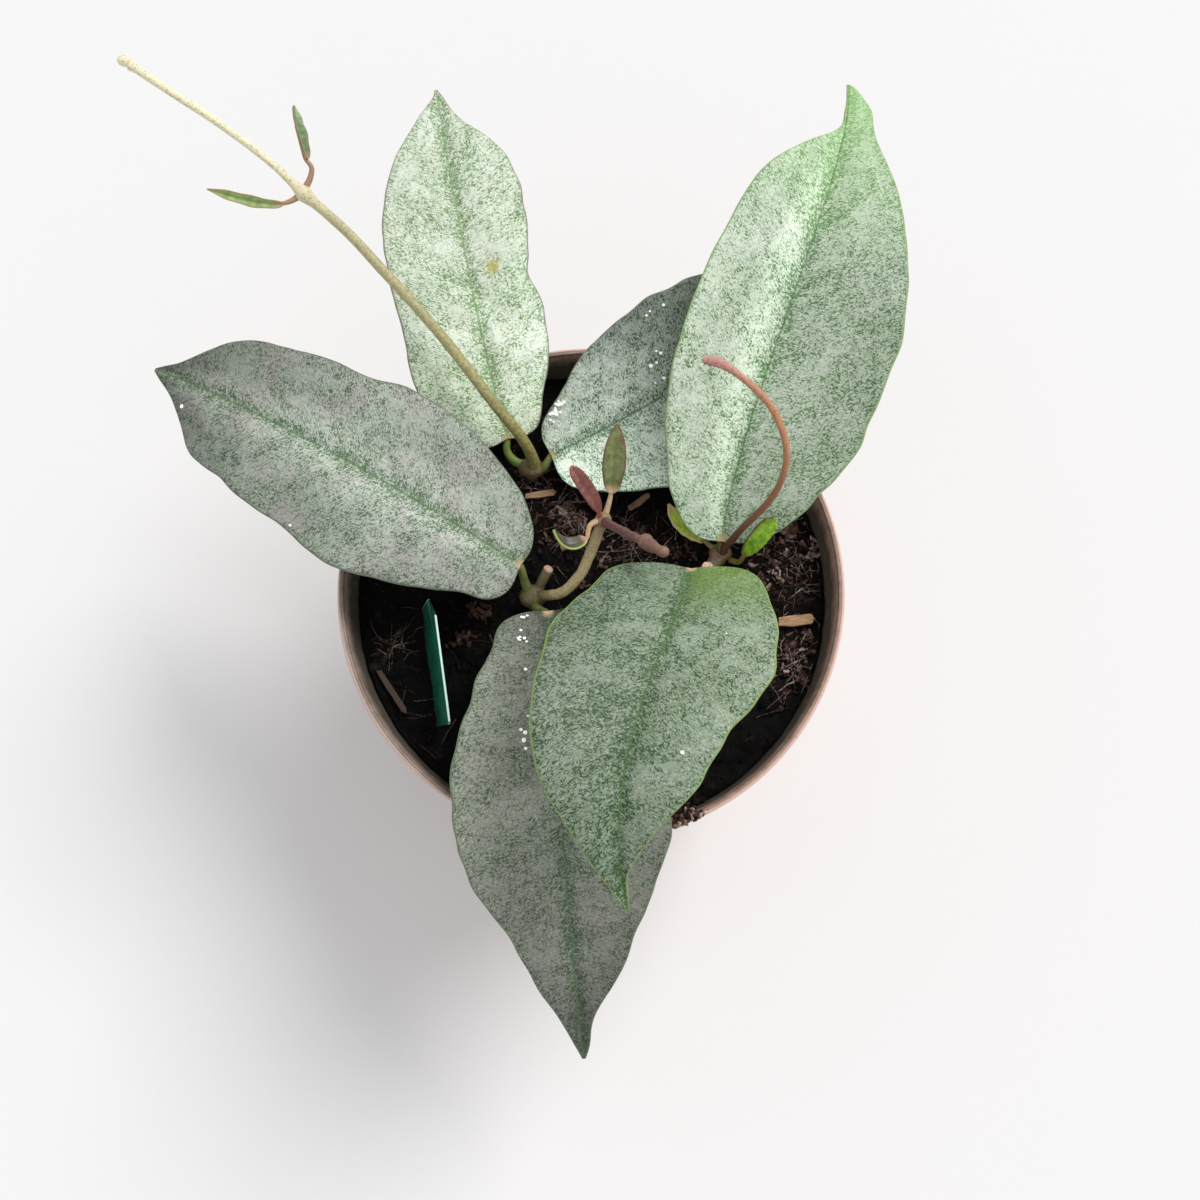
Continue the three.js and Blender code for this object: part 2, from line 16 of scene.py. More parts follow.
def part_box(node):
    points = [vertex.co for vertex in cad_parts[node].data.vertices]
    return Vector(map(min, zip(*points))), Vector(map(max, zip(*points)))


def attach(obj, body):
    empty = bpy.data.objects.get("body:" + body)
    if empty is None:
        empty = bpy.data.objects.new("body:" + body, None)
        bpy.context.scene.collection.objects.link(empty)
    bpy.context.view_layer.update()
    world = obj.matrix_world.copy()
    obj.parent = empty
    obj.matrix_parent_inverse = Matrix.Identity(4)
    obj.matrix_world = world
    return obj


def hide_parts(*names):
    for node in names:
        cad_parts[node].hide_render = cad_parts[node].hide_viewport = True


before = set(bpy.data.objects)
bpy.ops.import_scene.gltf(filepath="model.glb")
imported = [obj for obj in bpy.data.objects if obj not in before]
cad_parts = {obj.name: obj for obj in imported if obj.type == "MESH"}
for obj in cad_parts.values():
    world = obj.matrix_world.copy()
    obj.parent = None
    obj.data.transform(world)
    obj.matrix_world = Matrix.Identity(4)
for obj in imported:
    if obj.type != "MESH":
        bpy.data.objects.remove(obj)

bl_info = {
    "name": "Potted hoya",
    "version": (1, 0, 0),
    "blender": (4, 5, 0),
    "location": "3D View > Sidebar > Hoya",
    "description": "Builds a hoya with silvery leaves in a filled nursery pot",
    "category": "Add Mesh",
}

MM = 0.001
ROUND = 2 * math.pi
UPWARDS = Vector((0, 0, 1))
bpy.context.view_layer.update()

# ---- sizes taken from the frame ----


def in_mm(corner):
    return corner / MM


POT_TOP = in_mm(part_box("pot")[1])
RIM_RADIUS = POT_TOP.x
POT_HEIGHT = POT_TOP.z

# ---- driving dimensions that the frame doesn't give ----

LIP = 1.6  # width of the rim's top edge
COLLAR_HEIGHT = 9
WALL_LEAN = 0.12  # how much the wall leans in per millimetre of depth
PAD_RADIUS = 30
FOOT_WIDTH = 2.2
ARCH = 2
FLOOR_THICKNESS = 1.6
DRAIN_HOLES = 8
DRAIN_RADIUS = 4
DRAIN_CIRCLE = 38
PEAT_LEVEL = 89.5
PEAT_CLEARANCE = 0.3
LEVEL_EDGE = 8  # width of the ring along the wall where its lumps fade out
PEAT_RINGS = 100  # rings and steps round of its finely meshed surface
PEAT_STEPS = 420
STEM_DEPTH = 65  # height of the stems' lower ends, in the peat
CHIP_BEVEL = 0.14
LABEL_BEVEL = 0.12
STEM_SKIN = 0.3  # grain at which a stem and its nodes grow together
STEM_SIDES = 16
SHOOT_SIDES = 18
STALK_SIDES = 14

LABEL = {
    "width": 31,
    "top_centre": (-34.4, -18.5, 104),
    "turn": -81,  # degrees from +X to the top edge
    "lean": 17,  # degrees that it leans to the right
    "shoulder": 20,  # how far down the full width goes
    "length": 32,
    "corner": 5.5,  # the corner cut off its far end
    "slant": 2.5,  # how much its near end slants
    "foot": 3,  # half the width of its lower end
}

# Where along a leaf, from base to tip, its half widths are given.
STATIONS = [0, 0.015, 0.06, 0.14, 0.26, 0.4, 0.55, 0.69, 0.81, 0.91, 0.97, 1]

# Each big leaf: rib is the midrib as a cubic curve from base to tip, face the way that its upper side
# looks at base and tip, left and right its half widths at the stations, fold the degrees by which the
# halves rise from the midrib at base and tip, wave the height of the edge's waves with their number and
# where they start, lobe how far the rounded lobes reach back past the stalk, gutter the depth and half
# width of the hollow along the midrib and swollen how strongly the blade bulges. dents are the notches in
# its edge: the side, where along the leaf, how deep, or with a negative depth how far it bulges, and how
# wide. stalk lists the points of the leaf stalk, from inside the node that it grows from.
BIG_LEAVES = {
    "leaf_back_left": {
        "rib": [(-20.5, 37, 98), (-26, 55, 110), (-32.5, 88, 118), (-38.5, 122.5, 114)],
        "face": [(0.1, -0.25, 1), (0.1, -0.1, 1)],
        "left": [0.7, 5.5, 11, 16, 18, 18.5, 19, 17.5, 13.3, 6, 1.5, 0.4],
        "right": [0.7, 4.5, 8.5, 11, 14.7, 15.8, 15.2, 16.2, 13, 4.5, 1.7, 0.4],
        "fold": (6, 5), "wave": 0.8, "waves": 2.5, "phase": (0, 0.4), "lobe": 7, "swollen": 1.9,
        "dents": [(1, 0.47, 1.8, 0.035), (1, 0.6, -0.6, 0.04), (-1, 0.27, -0.7, 0.06),
            (-1, 0.82, 0.5, 0.06)],
        "stalk": [(-15.5, 30.8, 94.8), (-19, 32.2, 95.2), (-20.8, 34.6, 96.4)],
    },
    "leaf_left": {
        "rib": [(-16.5, 3.5, 104), (-40, 17, 114), (-75, 37, 118), (-106.5, 53, 103)],
        "face": [(0, 0, 1), (-0.15, -0.1, 1)],
        "left": [0.7, 7, 11.5, 14, 19.5, 23, 20.5, 18.5, 14, 5.5, 2, 0.4],
        "right": [0.7, 5, 10, 15, 19.5, 22, 19.5, 17.5, 13.5, 6, 2, 0.4],
        "fold": (8, 4), "wave": 1.2, "waves": 3, "phase": (0.2, 0.55), "lobe": 6.5,
        "dents": [(-1, 0.7, 1.2, 0.025), (-1, 0.79, -0.9, 0.045), (1, 0.93, 0.8, 0.035),
            (1, 0.8, -0.9, 0.06), (1, 0.53, 0.5, 0.05)],
        "stalk": [(-14.8, -1, 95.3), (-15.8, 0.8, 99), (-16.2, 2.4, 102)],
    },
    "leaf_back_right": {
        "rib": [(-9.7, 32.5, 98.5), (8, 39.5, 104), (32, 51, 112), (70, 77, 106)],
        "face": [(0.1, -0.35, 1), (0.1, -0.2, 1)],
        "left": [0.7, 5, 8.5, 11.5, 16.5, 20.5, 21.5, 20, 14.5, 7, 2, 0.4],
        "right": [0.7, 6, 10, 13.5, 17.5, 21, 21, 18.5, 13.5, 6, 2, 0.4],
        "fold": (10, 6), "wave": 1, "waves": 2.2, "phase": (0.1, 0.6), "lobe": 4,
        "dents": [(-1, 0.28, -0.6, 0.05), (-1, 0.4, 0.4, 0.03), (-1, 0.52, -0.5, 0.05)],
        "stalk": [(-14, 30.3, 94.8), (-12, 30.2, 95.3), (-10.8, 31.2, 96.8)],
    },
    "leaf_right": {
        "rib": [(31, 10.5, 100), (34.5, 40, 124), (60.5, 89, 136), (61.5, 117, 125)],
        "face": [(0, -0.3, 1), (0.1, -0.15, 1)],
        "left": [0.7, 5.9, 11.2, 16.2, 20.4, 21.9, 19.6, 15, 4.2, 0.8, 0.5, 0.4],
        "right": [0.7, 6, 12.5, 18.8, 24.4, 26.2, 23.7, 16.7, 7.8, 4.3, 2, 0.4],
        "fold": (13, 9), "wave": 1, "waves": 2.7, "phase": (0.3, 0.1), "lobe": 4, "gutter": (1.2, 4.5),
        "dents": [(-1, 0.85, 1.3, 0.045), (-1, 0.63, -0.5, 0.04), (1, 0.9, -0.7, 0.035),
            (1, 0.25, -0.6, 0.06)],
        "stalk": [(31.2, 9, 95.5), (31, 9.4, 97.5)],
    },
    "leaf_front": {
        "rib": [(22, -3, 124), (17, -21, 142), (0, -48, 162), (7.5, -74.5, 138)],
        "face": [(-0.2, 0.1, 1), (0, -0.4, 1)],
        "left": [0.7, 5, 12.5, 17.5, 21.5, 22, 17.5, 13.7, 7, 1.6, 0.8, 0.4],
        "right": [0.7, 6, 11, 16.5, 19, 21.5, 20.5, 17, 9, 3.8, 1.2, 0.4],
        "fold": (8, 14), "wave": 0.6, "waves": 2.4, "phase": (0.5, 0.15), "lobe": 8,
        "dents": [(-1, 0.36, -0.4, 0.03), (-1, 0.52, 0.4, 0.03)],
        "stalk": [(27, 2.8, 95), (25, -0.6, 98.5), (23.3, -3.2, 106), (22.4, -3.9, 116), (22.1, -3.6, 121.5)],
    },
    "leaf_front_low": {
        "rib": [(-10, -7.5, 102), (-7, -35, 116), (-6, -70, 116), (-1.5, -108, 88)],
        "face": [(0, 0.1, 1), (0, -0.3, 1)],
        "left": [0.7, 6, 11, 15, 20, 23, 23.5, 18, 11.2, 3.7, 1.8, 0.4],
        "right": [0.7, 6, 11.5, 14, 18.5, 23.5, 23, 17, 9.9, 4.3, 1.6, 0.4],
        "fold": (8, 6), "wave": 1, "waves": 3.1, "phase": (0.7, 0.35), "lobe": 5,
        "dents": [(1, 0.2, -1, 0.045), (1, 0.64, -0.6, 0.04), (1, 0.73, 0.9, 0.03), (1, 0.85, -0.6, 0.03),
            (-1, 0.75, 0.6, 0.04)],
        "stalk": [(-13.6, -3.8, 94.6), (-12.7, -5.6, 97), (-11.3, -6.7, 99.6)],
    },
}

# A young leaf is slim: these half widths are multiplied by its own widest half width.
YOUNG_OUTLINE = [0.15, 0.35, 0.56, 0.74, 0.9, 1, 0.97, 0.86, 0.66, 0.4, 0.22, 0.14]
BLUNT_OUTLINE = [0.15, 0.32, 0.5, 0.68, 0.85, 0.96, 1, 0.98, 0.92, 0.76, 0.5, 0.3]

# Each young leaf, with the number of scallops along its edge.
YOUNG_LEAVES = {
    "shoot_leaf_up": {
        "rib": [(-64.4, 91, 133), (-65.2, 94.5, 135), (-66.8, 98.5, 137.5), (-66.9, 101.6, 137.5)],
        "face": [(0.9, -0.3, 0.6), (0.9, -0.3, 0.6)], "half": 1.35, "fold": 35, "scallops": 3,
        "stalk": [(-65, 85.6, 130.3), (-63.9, 87.6, 131), (-63.5, 89.6, 132)],
    },
    "shoot_leaf_left": {
        "rib": [(-70.1, 82.1, 129.2), (-75, 81.2, 130), (-81, 82.5, 132), (-87, 84.4, 131.5)],
        "face": [(0.3, -0.7, 0.7), (0.2, -0.6, 0.8)], "half": 1.3, "fold": 32, "scallops": 3,
        "stalk": [(-66.6, 83.7, 129.6), (-68.4, 82.8, 129.2)],
    },
    "small_leaf_left": {
        "rib": [(27.2, 11.0, 98.4), (23.7, 12.9, 100.4), (20.0, 14.4, 101.1), (18.4, 18.8, 102.8)],
        "face": [(0.2, 0, 1), (0.2, 0, 1)], "half": 2.35, "fold": 14, "scallops": 5,
        "stalk": [(30.2, 9.7, 95.2), (28.6, 10.3, 96.3)],
    },
    "small_leaf_right": {
        "rib": [(36.1, 6.6, 101.8), (37.6, 7.7, 106), (39.8, 9.9, 109.5), (42.2, 12.4, 111.5)],
        "face": [(-0.3, -0.4, 1), (-0.3, -0.4, 1)], "half": 2.2, "fold": 8, "scallops": 8, "blunt": True,
        "stalk": [(33.5, 7.2, 94.5), (35.2, 6, 97), (35.8, 6.1, 99.8)],
    },
    "young_leaf_up": {
        "rib": [(4.7, 18.4, 112.6), (5.2, 22.5, 116.5), (5.6, 27, 120), (6.1, 31.5, 122)],
        "face": [(0, -0.5, 1), (0, -0.4, 1)], "half": 2.7, "fold": 16, "scallops": 0,
        "stalk": [(3.3, 14.2, 108.7), (4.1, 16.3, 110.6)],
    },
    "young_leaf_curled": {
        "rib": [(-1, 8.3, 110), (-3.5, 5.9, 109.6), (-7, 5.5, 110.5), (-8.4, 9.3, 113.5)],
        "face": [(0.2, 0.4, 1), (0.5, 0.5, 0.7)], "half": 1.9, "fold": 20, "scallops": 0,
        "stalk": [(1.8, 12.8, 109.4), (-0.2, 11.2, 110.3)],
    },
    "young_leaf_red": {
        "rib": [(1.9, 14, 112.6), (0.8, 14.9, 119), (-1.6, 16.2, 127), (-4, 17.2, 134)],
        "face": [(0.5, -0.8, 0.4), (0.5, -0.8, 0.4)], "half": 1.75, "fold": 14, "scallops": 0, "blunt": True,
        "stalk": [(2.2, 13.4, 109.5), (2, 13.7, 111)],
    },
}

BIG_STALK = 1.3  # radius of a big leaf's stalk where it leaves the stem
STALK_TOP = 0.85  # and where it runs under the blade
YOUNG_STALK = 0.8
YOUNG_THICKNESS = 0.8
YOUNG_RELIEF = 0.12
BIG_MESH = 72, 28  # rows and columns of each face before it is subdivided
YOUNG_MESH = 30, 12
THINNED = 0.45  # how much thinner a leaf is at its edge than in its middle

# Swollen nodes of the stems: centre and half lengths.
NODES = {
    "back": {"at": (-14.8, 30.5, 94.8), "half": (3.4, 2.6, 2.5)},
    "left": {"at": (-14, -2, 95), "half": (3.4, 3, 2.6)},
    "right": {"at": (31.2, 9, 94.8), "half": (2.9, 2.3, 2.3)},
    "right_low": {"at": (27.4, 3.6, 95), "half": (2.3, 2.3, 2.1)},
    "young": {"at": (2.8, 12.9, 108.7), "half": (2.1, 2.1, 2.1)},
    "shoot": {"at": (-65.6, 84.3, 130), "half": (2.2, 2.3, 2)},
}

# Stems that stand in the peat: foot is where they stand, node_tone the colour of their nodes, cut the
# branches that were cut to a stub and growing the ones that still grow.
STEMS = {
    "stem_back": {
        "foot": (-15.2, 30.2), "radius": 2, "nodes": ["back"], "node_tone": "#8a6f55",
        "cut": [], "growing": []},
    "stem_left": {
        "foot": (-14, -2), "radius": 2.2, "nodes": ["left", "young"], "node_tone": "#75603f",
        "cut": [{"radius": 1.25, "points": [(-13, -0.8, 95), (-11.4, 1.8, 97.4), (-10, 3.8, 100)]}],
        "growing": [{"radius": 1.3, "points": [
            (-12.4, -1.9, 96), (-10, -2.6, 99), (-6.6, -2.5, 102), (-2.6, 1, 104.2), (0.2, 6.6, 106.3),
            (1.4, 9.8, 107.6), (2.7, 12.7, 108.6)]}],
    },
    "stem_right": {
        "foot": (30.6, 7.8), "radius": 2.1, "nodes": ["right", "right_low"], "node_tone": "#a37d62",
        "cut": [{"radius": 1.5, "points": [(27.5, 3.9, 95), (27.6, 4.2, 97), (27.8, 4.5, 98.6)]}],
        "growing": [{"radius": 1.7, "points": [(31, 8.4, 94.6), (29.4, 6.2, 94.9), (27.4, 3.6, 95)]}],
    },
}

LONG_SHOOT = {
    "foot_radius": 1.4,
    "node_radius": 1.15,
    "upper_radius": 0.9,
    "points": [
        (-14.2, 30.8, 95.5), (-14.4, 31.7, 99), (-16.2, 34.1, 104.5), (-23.1, 41.3, 111),
        (-35.8, 56.3, 117.5), (-48.2, 69.1, 122.5), (-56.6, 77.2, 126.5), (-65.6, 84.3, 130),
        (-72.7, 90.1, 133.5), (-83.5, 96.5, 139), (-94.5, 101.6, 145), (-100.5, 104.6, 148.2)],
    "bud": {"at": (-101.2, 105, 148.6), "half": (1.6, 1.3, 1.2)},
}

FLOWER_STALK = {
    "radius": 0.78,
    "points": [
        (31.6, 9.0, 95.5), (31.9, 9.0, 99), (32.8, 9.4, 103), (35.0, 11.1, 108.5), (40.3, 14.9, 118),
        (42.5, 18.9, 127), (41.7, 23.3, 134), (37.8, 28.8, 140), (32.4, 33.2, 143), (27.1, 36.6, 144),
        (24.6, 37.3, 143.4)],
    "scars": [
        {"at": (27.2, 36.5, 144), "half": (1.6, 1.3, 1.2)}, {"at": (24.3, 37.4, 143.3), "half": (1, 1, 0.9)}],
}

RED_SHOOT = {
    "radius": 1.02,
    "points": [(3.3, 12.3, 109.6), (4, 11, 112.5), (6.6, 7, 121), (10.6, 1.6, 132), (14.7, -2.5, 138.5)],
    "knob": {"at": (11.6, 0.8, 134), "half": (1.8, 1.8, 1.7)},
    "bud": {"at": (15.1, -2.8, 138.8), "half": (1.4, 1.3, 1.3)},
}

# Wood chips that lie on the peat, each in its node's place: length, width, thickness, turn in degrees and how
# weathered its wood is.
CHIPS = {
    "chip_right": {"size": (9, 2.8, 1), "turn": 5, "grey": 0.1},
    "chip_back": {"size": (8, 1.7, 0.8), "turn": 8, "grey": 0.25},
    "chip_middle": {"size": (6.5, 2, 0.9), "turn": 28, "grey": 0.4},
    "chip_back_right": {"size": (6.5, 1.6, 0.8), "turn": 35, "grey": 0.35},
    "chip_left": {"size": (13, 1.5, 0.8), "turn": -56, "grey": 1.0},
}

# Lumps of bark in the peat: centre, mean radius and how light they are.
BARK = [
    ((48.9, 16.5), 2.6, 0.75), ((47.5, 10.3), 1.1, 1.0), ((55.0, 12.4), 1.5, 0.9), ((54.6, 9.4), 1.3, 0.9),
    ((-6.1, 20.5), 2.3, 0.8), ((-2.6, 17.8), 1.8, 0.7), ((-27.8, -4.8), 2.4, 0.5),
    ((-31.7, -11.7), 2.2, 0.45),
    ((47.9, -15.4), 1.6, 0.6), ((50.6, -21.2), 2.2, 0.6), ((43.8, 8.3), 1.8, 0.5), ((40.8, 3.2), 1.6, 0.5),
    ((-10.8, 14.0), 1.5, 0.6), ((20.8, 10.2), 1.7, 0.55), ((-3.4, 2.8), 1.9, 0.4), ((52.0, -9.9), 1.1, 0.8),
]
BARK_BITS = 20  # splinters and crumbs in each lump

# Peat that was spilled against the wall and over the rim.
SPILL = {"at": (20.6, -53.6), "spread": 5.0, "top": 100.6, "crumbs": 240}

# Where root threads lie thickest: centre and spread.
TANGLES = [
    ((-5, 20), 6), ((8, 15), 7), ((14, 12), 4), ((-48, -12), 2.5), ((48, -18), 6), ((-16, 30), 4),
    ((51, 2), 6), ((46, 14), 7)]
TANGLE_THREADS = 26

# Where dry light litter lies on the black peat: centre, reach and how thick.
LITTER = [
    ((-5, 19), 8, 1.1), ((9, 14), 7, 0.75), ((21, 9), 6, 0.7), ((2, 9), 6, 0.5), ((49, 12), 9, 1.1),
    ((49, -17), 9, 0.95), ((-29, -7), 5, 0.4), ((-49, -15), 3, 0.3), ((21, -52), 7, 0.9),
    ((-16, 28), 5, 0.7), ((41, 3), 8, 0.8),
]

# Where the peat stands higher: centre, reach and height.
MOUNDS = [((-39, -21), 9, 1.4)]

# White droplets on the leaves: where along and across the leaf, how many and how large.
DROPLETS = {
    "leaf_back_right": [
        (0.26, -0.86, 14, 0.4), (0.53, -0.82, 3, 0.38), (0.5, -0.42, 4, 0.38), (0.48, -0.2, 2, 0.32),
        (0.2, 0.8, 1, 0.42)],
    "leaf_front_low": [(0.12, 0.7, 4, 0.32), (0.23, 0.5, 7, 0.3), (0.3, 0.38, 1, 0.38), (0.4, 0.32, 7, 0.36)],
    "leaf_left": [(0.78, -0.68, 1, 0.42), (0.52, -0.93, 1, 0.38)],
    "leaf_front": [(0.58, -0.62, 1, 0.38), (0.37, -0.53, 1, 0.28)],
}

DROPLET_LIFT = 0.25  # how far a droplet's middle stands off the leaf

# ---- finishes of the leaves ----

# silver and shade are the pale tissue where it is lightest and darkest, warm a faint pink tint and tint
# how strong it is, green the tissue where the strokes stand thick, fleck the dark green strokes, rib and
# margin the midrib and the edge, stalk the leaf stalk and blemish the place of a yellow stain. crowd is
# how thick the strokes stand. light is painted light and shade: how bright the tissue is painted at the
# base, halfway and at the tip, and how much brighter on one side, for the light and shade on each leaf.
# fresh is how green it is along the midrib near the base. Some leaves have more: crowd_lean is how much
# thicker the strokes stand on one side, tip the colour that the leaf fades to there, band a painted
# highlight, a brighter stripe given by its middle and reach, with the edges at -1 and 1, and its gain,
# and fresh_side the side where the green at the base is wide.
LEAF_LOOKS = {
    "leaf_back_left": {
        "silver": "#e4eee2", "shade": "#c4d2bb", "warm": "#dad2cb", "green": "#b4c9a4", "fleck": "#5c8048",
        "rib": "#76985f", "margin": "#8e8577", "stalk": "#72883f", "crowd": 0.45, "tint": 0.4,
        "light": (1.5, 1.06, 0.97, 0.12), "fresh": 0.35, "blemish": (-23.6, 75.3, 113),
    },
    "leaf_left": {
        "silver": "#c9d1c4", "shade": "#a2ad9d", "warm": "#b9aeac", "green": "#919f8b", "fleck": "#41623f",
        "rib": "#4a703a", "margin": "#6d705f", "stalk": "#7c8748", "crowd": 0.46, "tint": 0.75,
        "light": (0.8, 0.76, 0.3, 0.1), "fresh": 0.3, "band": (0, 0.6, 0.36),
    },
    "leaf_back_right": {
        "silver": "#d8e2d6", "shade": "#bccabb", "warm": "#c9cbc2", "green": "#8fa68a", "fleck": "#35573a",
        "rib": "#3f6339", "margin": "#6f7d69", "stalk": "#7f8a4a", "crowd": 0.50, "tint": 0.2,
        "light": (1.9, 1.05, 0.38, 0.68), "fresh": 0.3,
    },
    "leaf_right": {
        "silver": "#d8e2d4", "shade": "#b6c7b0", "warm": "#ccd0c2", "green": "#99b388", "fleck": "#446f3c",
        "rib": "#47703a", "margin": "#93b06d", "stalk": "#6d6a40", "crowd": 0.48, "tint": 0.2,
        "light": (1.08, 0.9, 1.22, -0.17), "fresh": 0.3, "band": (-0.2, 0.35, 0.45), "tip": "#a9dc84",
        "crowd_lean": 0.08,
    },
    # Its colours are painted darker: painted shade for the shadow that lies over this leaf.
    "leaf_front": {
        "silver": "#a9b7a5", "shade": "#86957d", "warm": "#9c9d8b", "green": "#64845a", "fleck": "#274a20",
        "rib": "#41691f", "margin": "#84a04e", "stalk": "#788546", "crowd": 0.50, "tint": 0.25,
        "light": (0.97, 0.83, 0.8, -0.2), "fresh": 0.5, "fresh_side": -1, "crowd_lean": 0.1,
    },
    # Its colours are painted darker and greyer: painted shade for the shadow over the whole leaf.
    "leaf_front_low": {
        "silver": "#b0b5a8", "shade": "#928f82", "warm": "#aaa59b", "green": "#80917a", "fleck": "#3f5a3c",
        "rib": "#4c6b40", "margin": "#68795a", "stalk": "#6f7c44", "crowd": 0.46, "tint": 0.7,
        "light": (0.3, 0.98, 0.3, 0.28), "fresh": 0.3,
    },
}

# face is the leaf's colour and deep its darker blots, margin its coloured edge and spots, edge how wide
# that edge is in millimetres, blemish how strong the spots are, stalk its base and tip its end.
# margin_side, -1 or 1, keeps the coloured edge to one side of the leaf.
YOUNG_LOOKS = {
    "shoot_leaf_up": {
        "face": "#8da96c", "deep": "#66805a", "margin": "#8d6a5c", "stalk": "#a9826a", "blemish": 0.2,
        "edge": 0.5},
    "shoot_leaf_left": {
        "face": "#a3bf6c", "deep": "#7f9660", "margin": "#a98d62", "stalk": "#b78f70", "blemish": 0.15,
        "edge": 0.5},
    # Its colours are painted light: painted sunlight on a leaf that lies in leaf_right's shadow.
    "small_leaf_left": {
        "face": "#d4ef52", "deep": "#a5c445", "margin": "#c9b184", "stalk": "#8f7a5a", "blemish": 0.5,
        "edge": 0.8, "tip": "#d0b482"},
    "small_leaf_right": {
        "face": "#a2cf2f", "deep": "#659d1b", "margin": "#5a3f20", "stalk": "#83703f", "blemish": 0.25,
        "edge": 0.9, "margin_side": -1},
    "young_leaf_up": {
        "face": "#84905a", "deep": "#66703f", "margin": "#6f4b39", "stalk": "#d9b896", "blemish": 0.5,
        "edge": 0.8},
    "young_leaf_curled": {
        "face": "#655f54", "deep": "#4d483f", "margin": "#a9c258", "stalk": "#dcb489", "blemish": 0.1,
        "edge": 0.65, "margin_side": -1},
    "young_leaf_red": {
        "face": "#bd7d74", "deep": "#8c5c5a", "margin": "#9a645e", "stalk": "#a4664f", "blemish": 0.3,
        "edge": 0.4},
}

# Colours of the details that a material has wherever it is used.
FRESH_GREEN = "#648428"
LEAF_STAIN = "#b3a94e"
BASE_CREAM = "#cdb28a"
UNDERSIDE = "#8b9c7a"
UNDERSIDE_DEEP = "#74876a"
STALK_BROWN = "#5f4c34"
PLASTIC_DEEP = "#7d5a4e"
DUST_AND_SHADE_DARK = "#322e28"
DUST_AND_SHADE_PALE = "#5b5346"
PLASTIC_SHADED = "#a9a099"
LIP_SOIL_AND_SHADE = "#75685d"
POT_SPECK = "#5b4437"
PEAT_LUMP = "#33261f"
PEAT_RUSSET = "#4a332c"
CRUMB_PALE = "#b0968a"
CRUMB_PALEST = "#e6d3c8"
THREAD_PALE = "#c4aea2"
WOOD_PALE = "#c8a27c"
WOOD_DEEP = "#96704f"
WOOD_STAIN = "#5d4636"
WOOD_WEATHERED = "#352b26"
LABEL_DEEP = "#02261c"
LABEL_SCRATCH = "#5fb39b"
LABEL_CORE_AND_HIGHLIGHT = "#d3f2ea"
LABEL_SOIL = "#33271f"
SHOOT_END = "#f2ecc8"
BARK_DOT = "#e0d9b4"
CUT_PALE = "#e6c9ae"
CUT_DEEP = "#c79c82"
STEM_DEEP = "#3d3824"
STEM_YOUNG = "#b3a277"
SHOOT_DEEP = "#757040"
SHOOT_NODE = "#c39c7c"
FLOWER_FOOT = "#6a4531"
FLOWER_DEEP = "#573726"
FLOWER_TIP = "#c58f8a"
RED_DEEP = "#5d3c3e"
RED_NODE = "#856a4d"
CHALK = "#e3e8e0"
FLOOR_SHADE = "#d8d8d4"
STUDIO_WHITE = "#fdfdff"
KEY_WHITE = "#fffdfb"

# ---- the settings that a user would change ----


def linear(code):
    """A colour written as #rrggbb, as Blender's linear red, green, blue and alpha."""
    shares = [int(code[k:k + 2], 16) / 255 for k in (1, 3, 5)]
    return (*(c / 12.92 if c <= 0.04045 else ((c + 0.055) / 1.055) ** 2.4 for c in shares), 1.0)


def colour_setting(name, description, code):
    return FloatVectorProperty(
        name=name, description=description, subtype="COLOR", size=4, min=0, max=1, default=linear(code))


def length_setting(name, description, millimetres):
    return FloatProperty(
        name=name, description=description, unit="LENGTH", subtype="DISTANCE", min=0,
        default=millimetres * MM, precision=4)


class HoyaStageSettings(bpy.types.PropertyGroup):
    floor: colour_setting("Floor", "Colour of the plain floor", "#e5e5e5")
    key: FloatProperty(name="Key light", description="Strength of the key light", default=2.1, min=0)
    fill: FloatProperty(
        name="Fill light", description="Strength of the even light all round", default=0.705, min=0)
    softness: FloatProperty(
        name="Softness", description="Angle that the key light fills, which softens its shadows",
        subtype="ANGLE", default=math.radians(28), min=0)


class HoyaPotSettings(bpy.types.PropertyGroup):
    plastic: colour_setting("Plastic", "Colour of the pot's plastic", "#deb2a0")
    wall: length_setting("Wall", "Thickness of the pot's wall", 1.2)
    sides: IntProperty(name="Sides", description="Steps round the pot", default=160, min=24)


class HoyaPeatSettings(bpy.types.PropertyGroup):
    dark: colour_setting("Dark peat", "Colour of the moist peat", "#040404")
    light: colour_setting("Light peat", "Colour of its drier crumbs", "#73594f")
    crumbs: IntProperty(name="Crumbs", description="Number of loose crumbs", default=3600, min=0)
    threads: IntProperty(name="Threads", description="Number of root threads and fibres", default=150, min=0)
    relief: length_setting("Relief", "Height of the lumps of the surface", 1.7)


class HoyaLabelSettings(bpy.types.PropertyGroup):
    plastic: colour_setting("Plastic", "Colour of the label", "#0b6148")
    thickness: length_setting("Thickness", "Thickness of the label", 0.5)


class HoyaLeafSettings(bpy.types.PropertyGroup):
    thickness: length_setting("Thickness", "Thickness of a big leaf in its middle", 1.2)
    stroke: length_setting("Strokes", "Size of the dark strokes on the silver", 0.6)
    relief: length_setting("Relief", "Height of the soft swellings of the blade", 0.4)


class HoyaDropletSettings(bpy.types.PropertyGroup):
    white: colour_setting("Droplets", "Colour of the dried droplets", "#f6f7f4")


class HoyaShootSettings(bpy.types.PropertyGroup):
    bark: colour_setting("Stem", "Colour of the old stems", "#5f5c3a")
    olive: colour_setting("Long shoot", "Colour of the long shoot", "#9c9654")
    brown: colour_setting("Flower stalk", "Colour of the flower stalk", "#cb9068")
    red: colour_setting("Red shoot", "Colour of the young red shoot", "#7d5354")


SETTINGS = {
    "hoya_stage": HoyaStageSettings,
    "hoya_pot": HoyaPotSettings,
    "hoya_peat": HoyaPeatSettings,
    "hoya_label": HoyaLabelSettings,
    "hoya_leaf": HoyaLeafSettings,
    "hoya_droplets": HoyaDropletSettings,
    "hoya_shoot": HoyaShootSettings,
}

# ---- materials ----


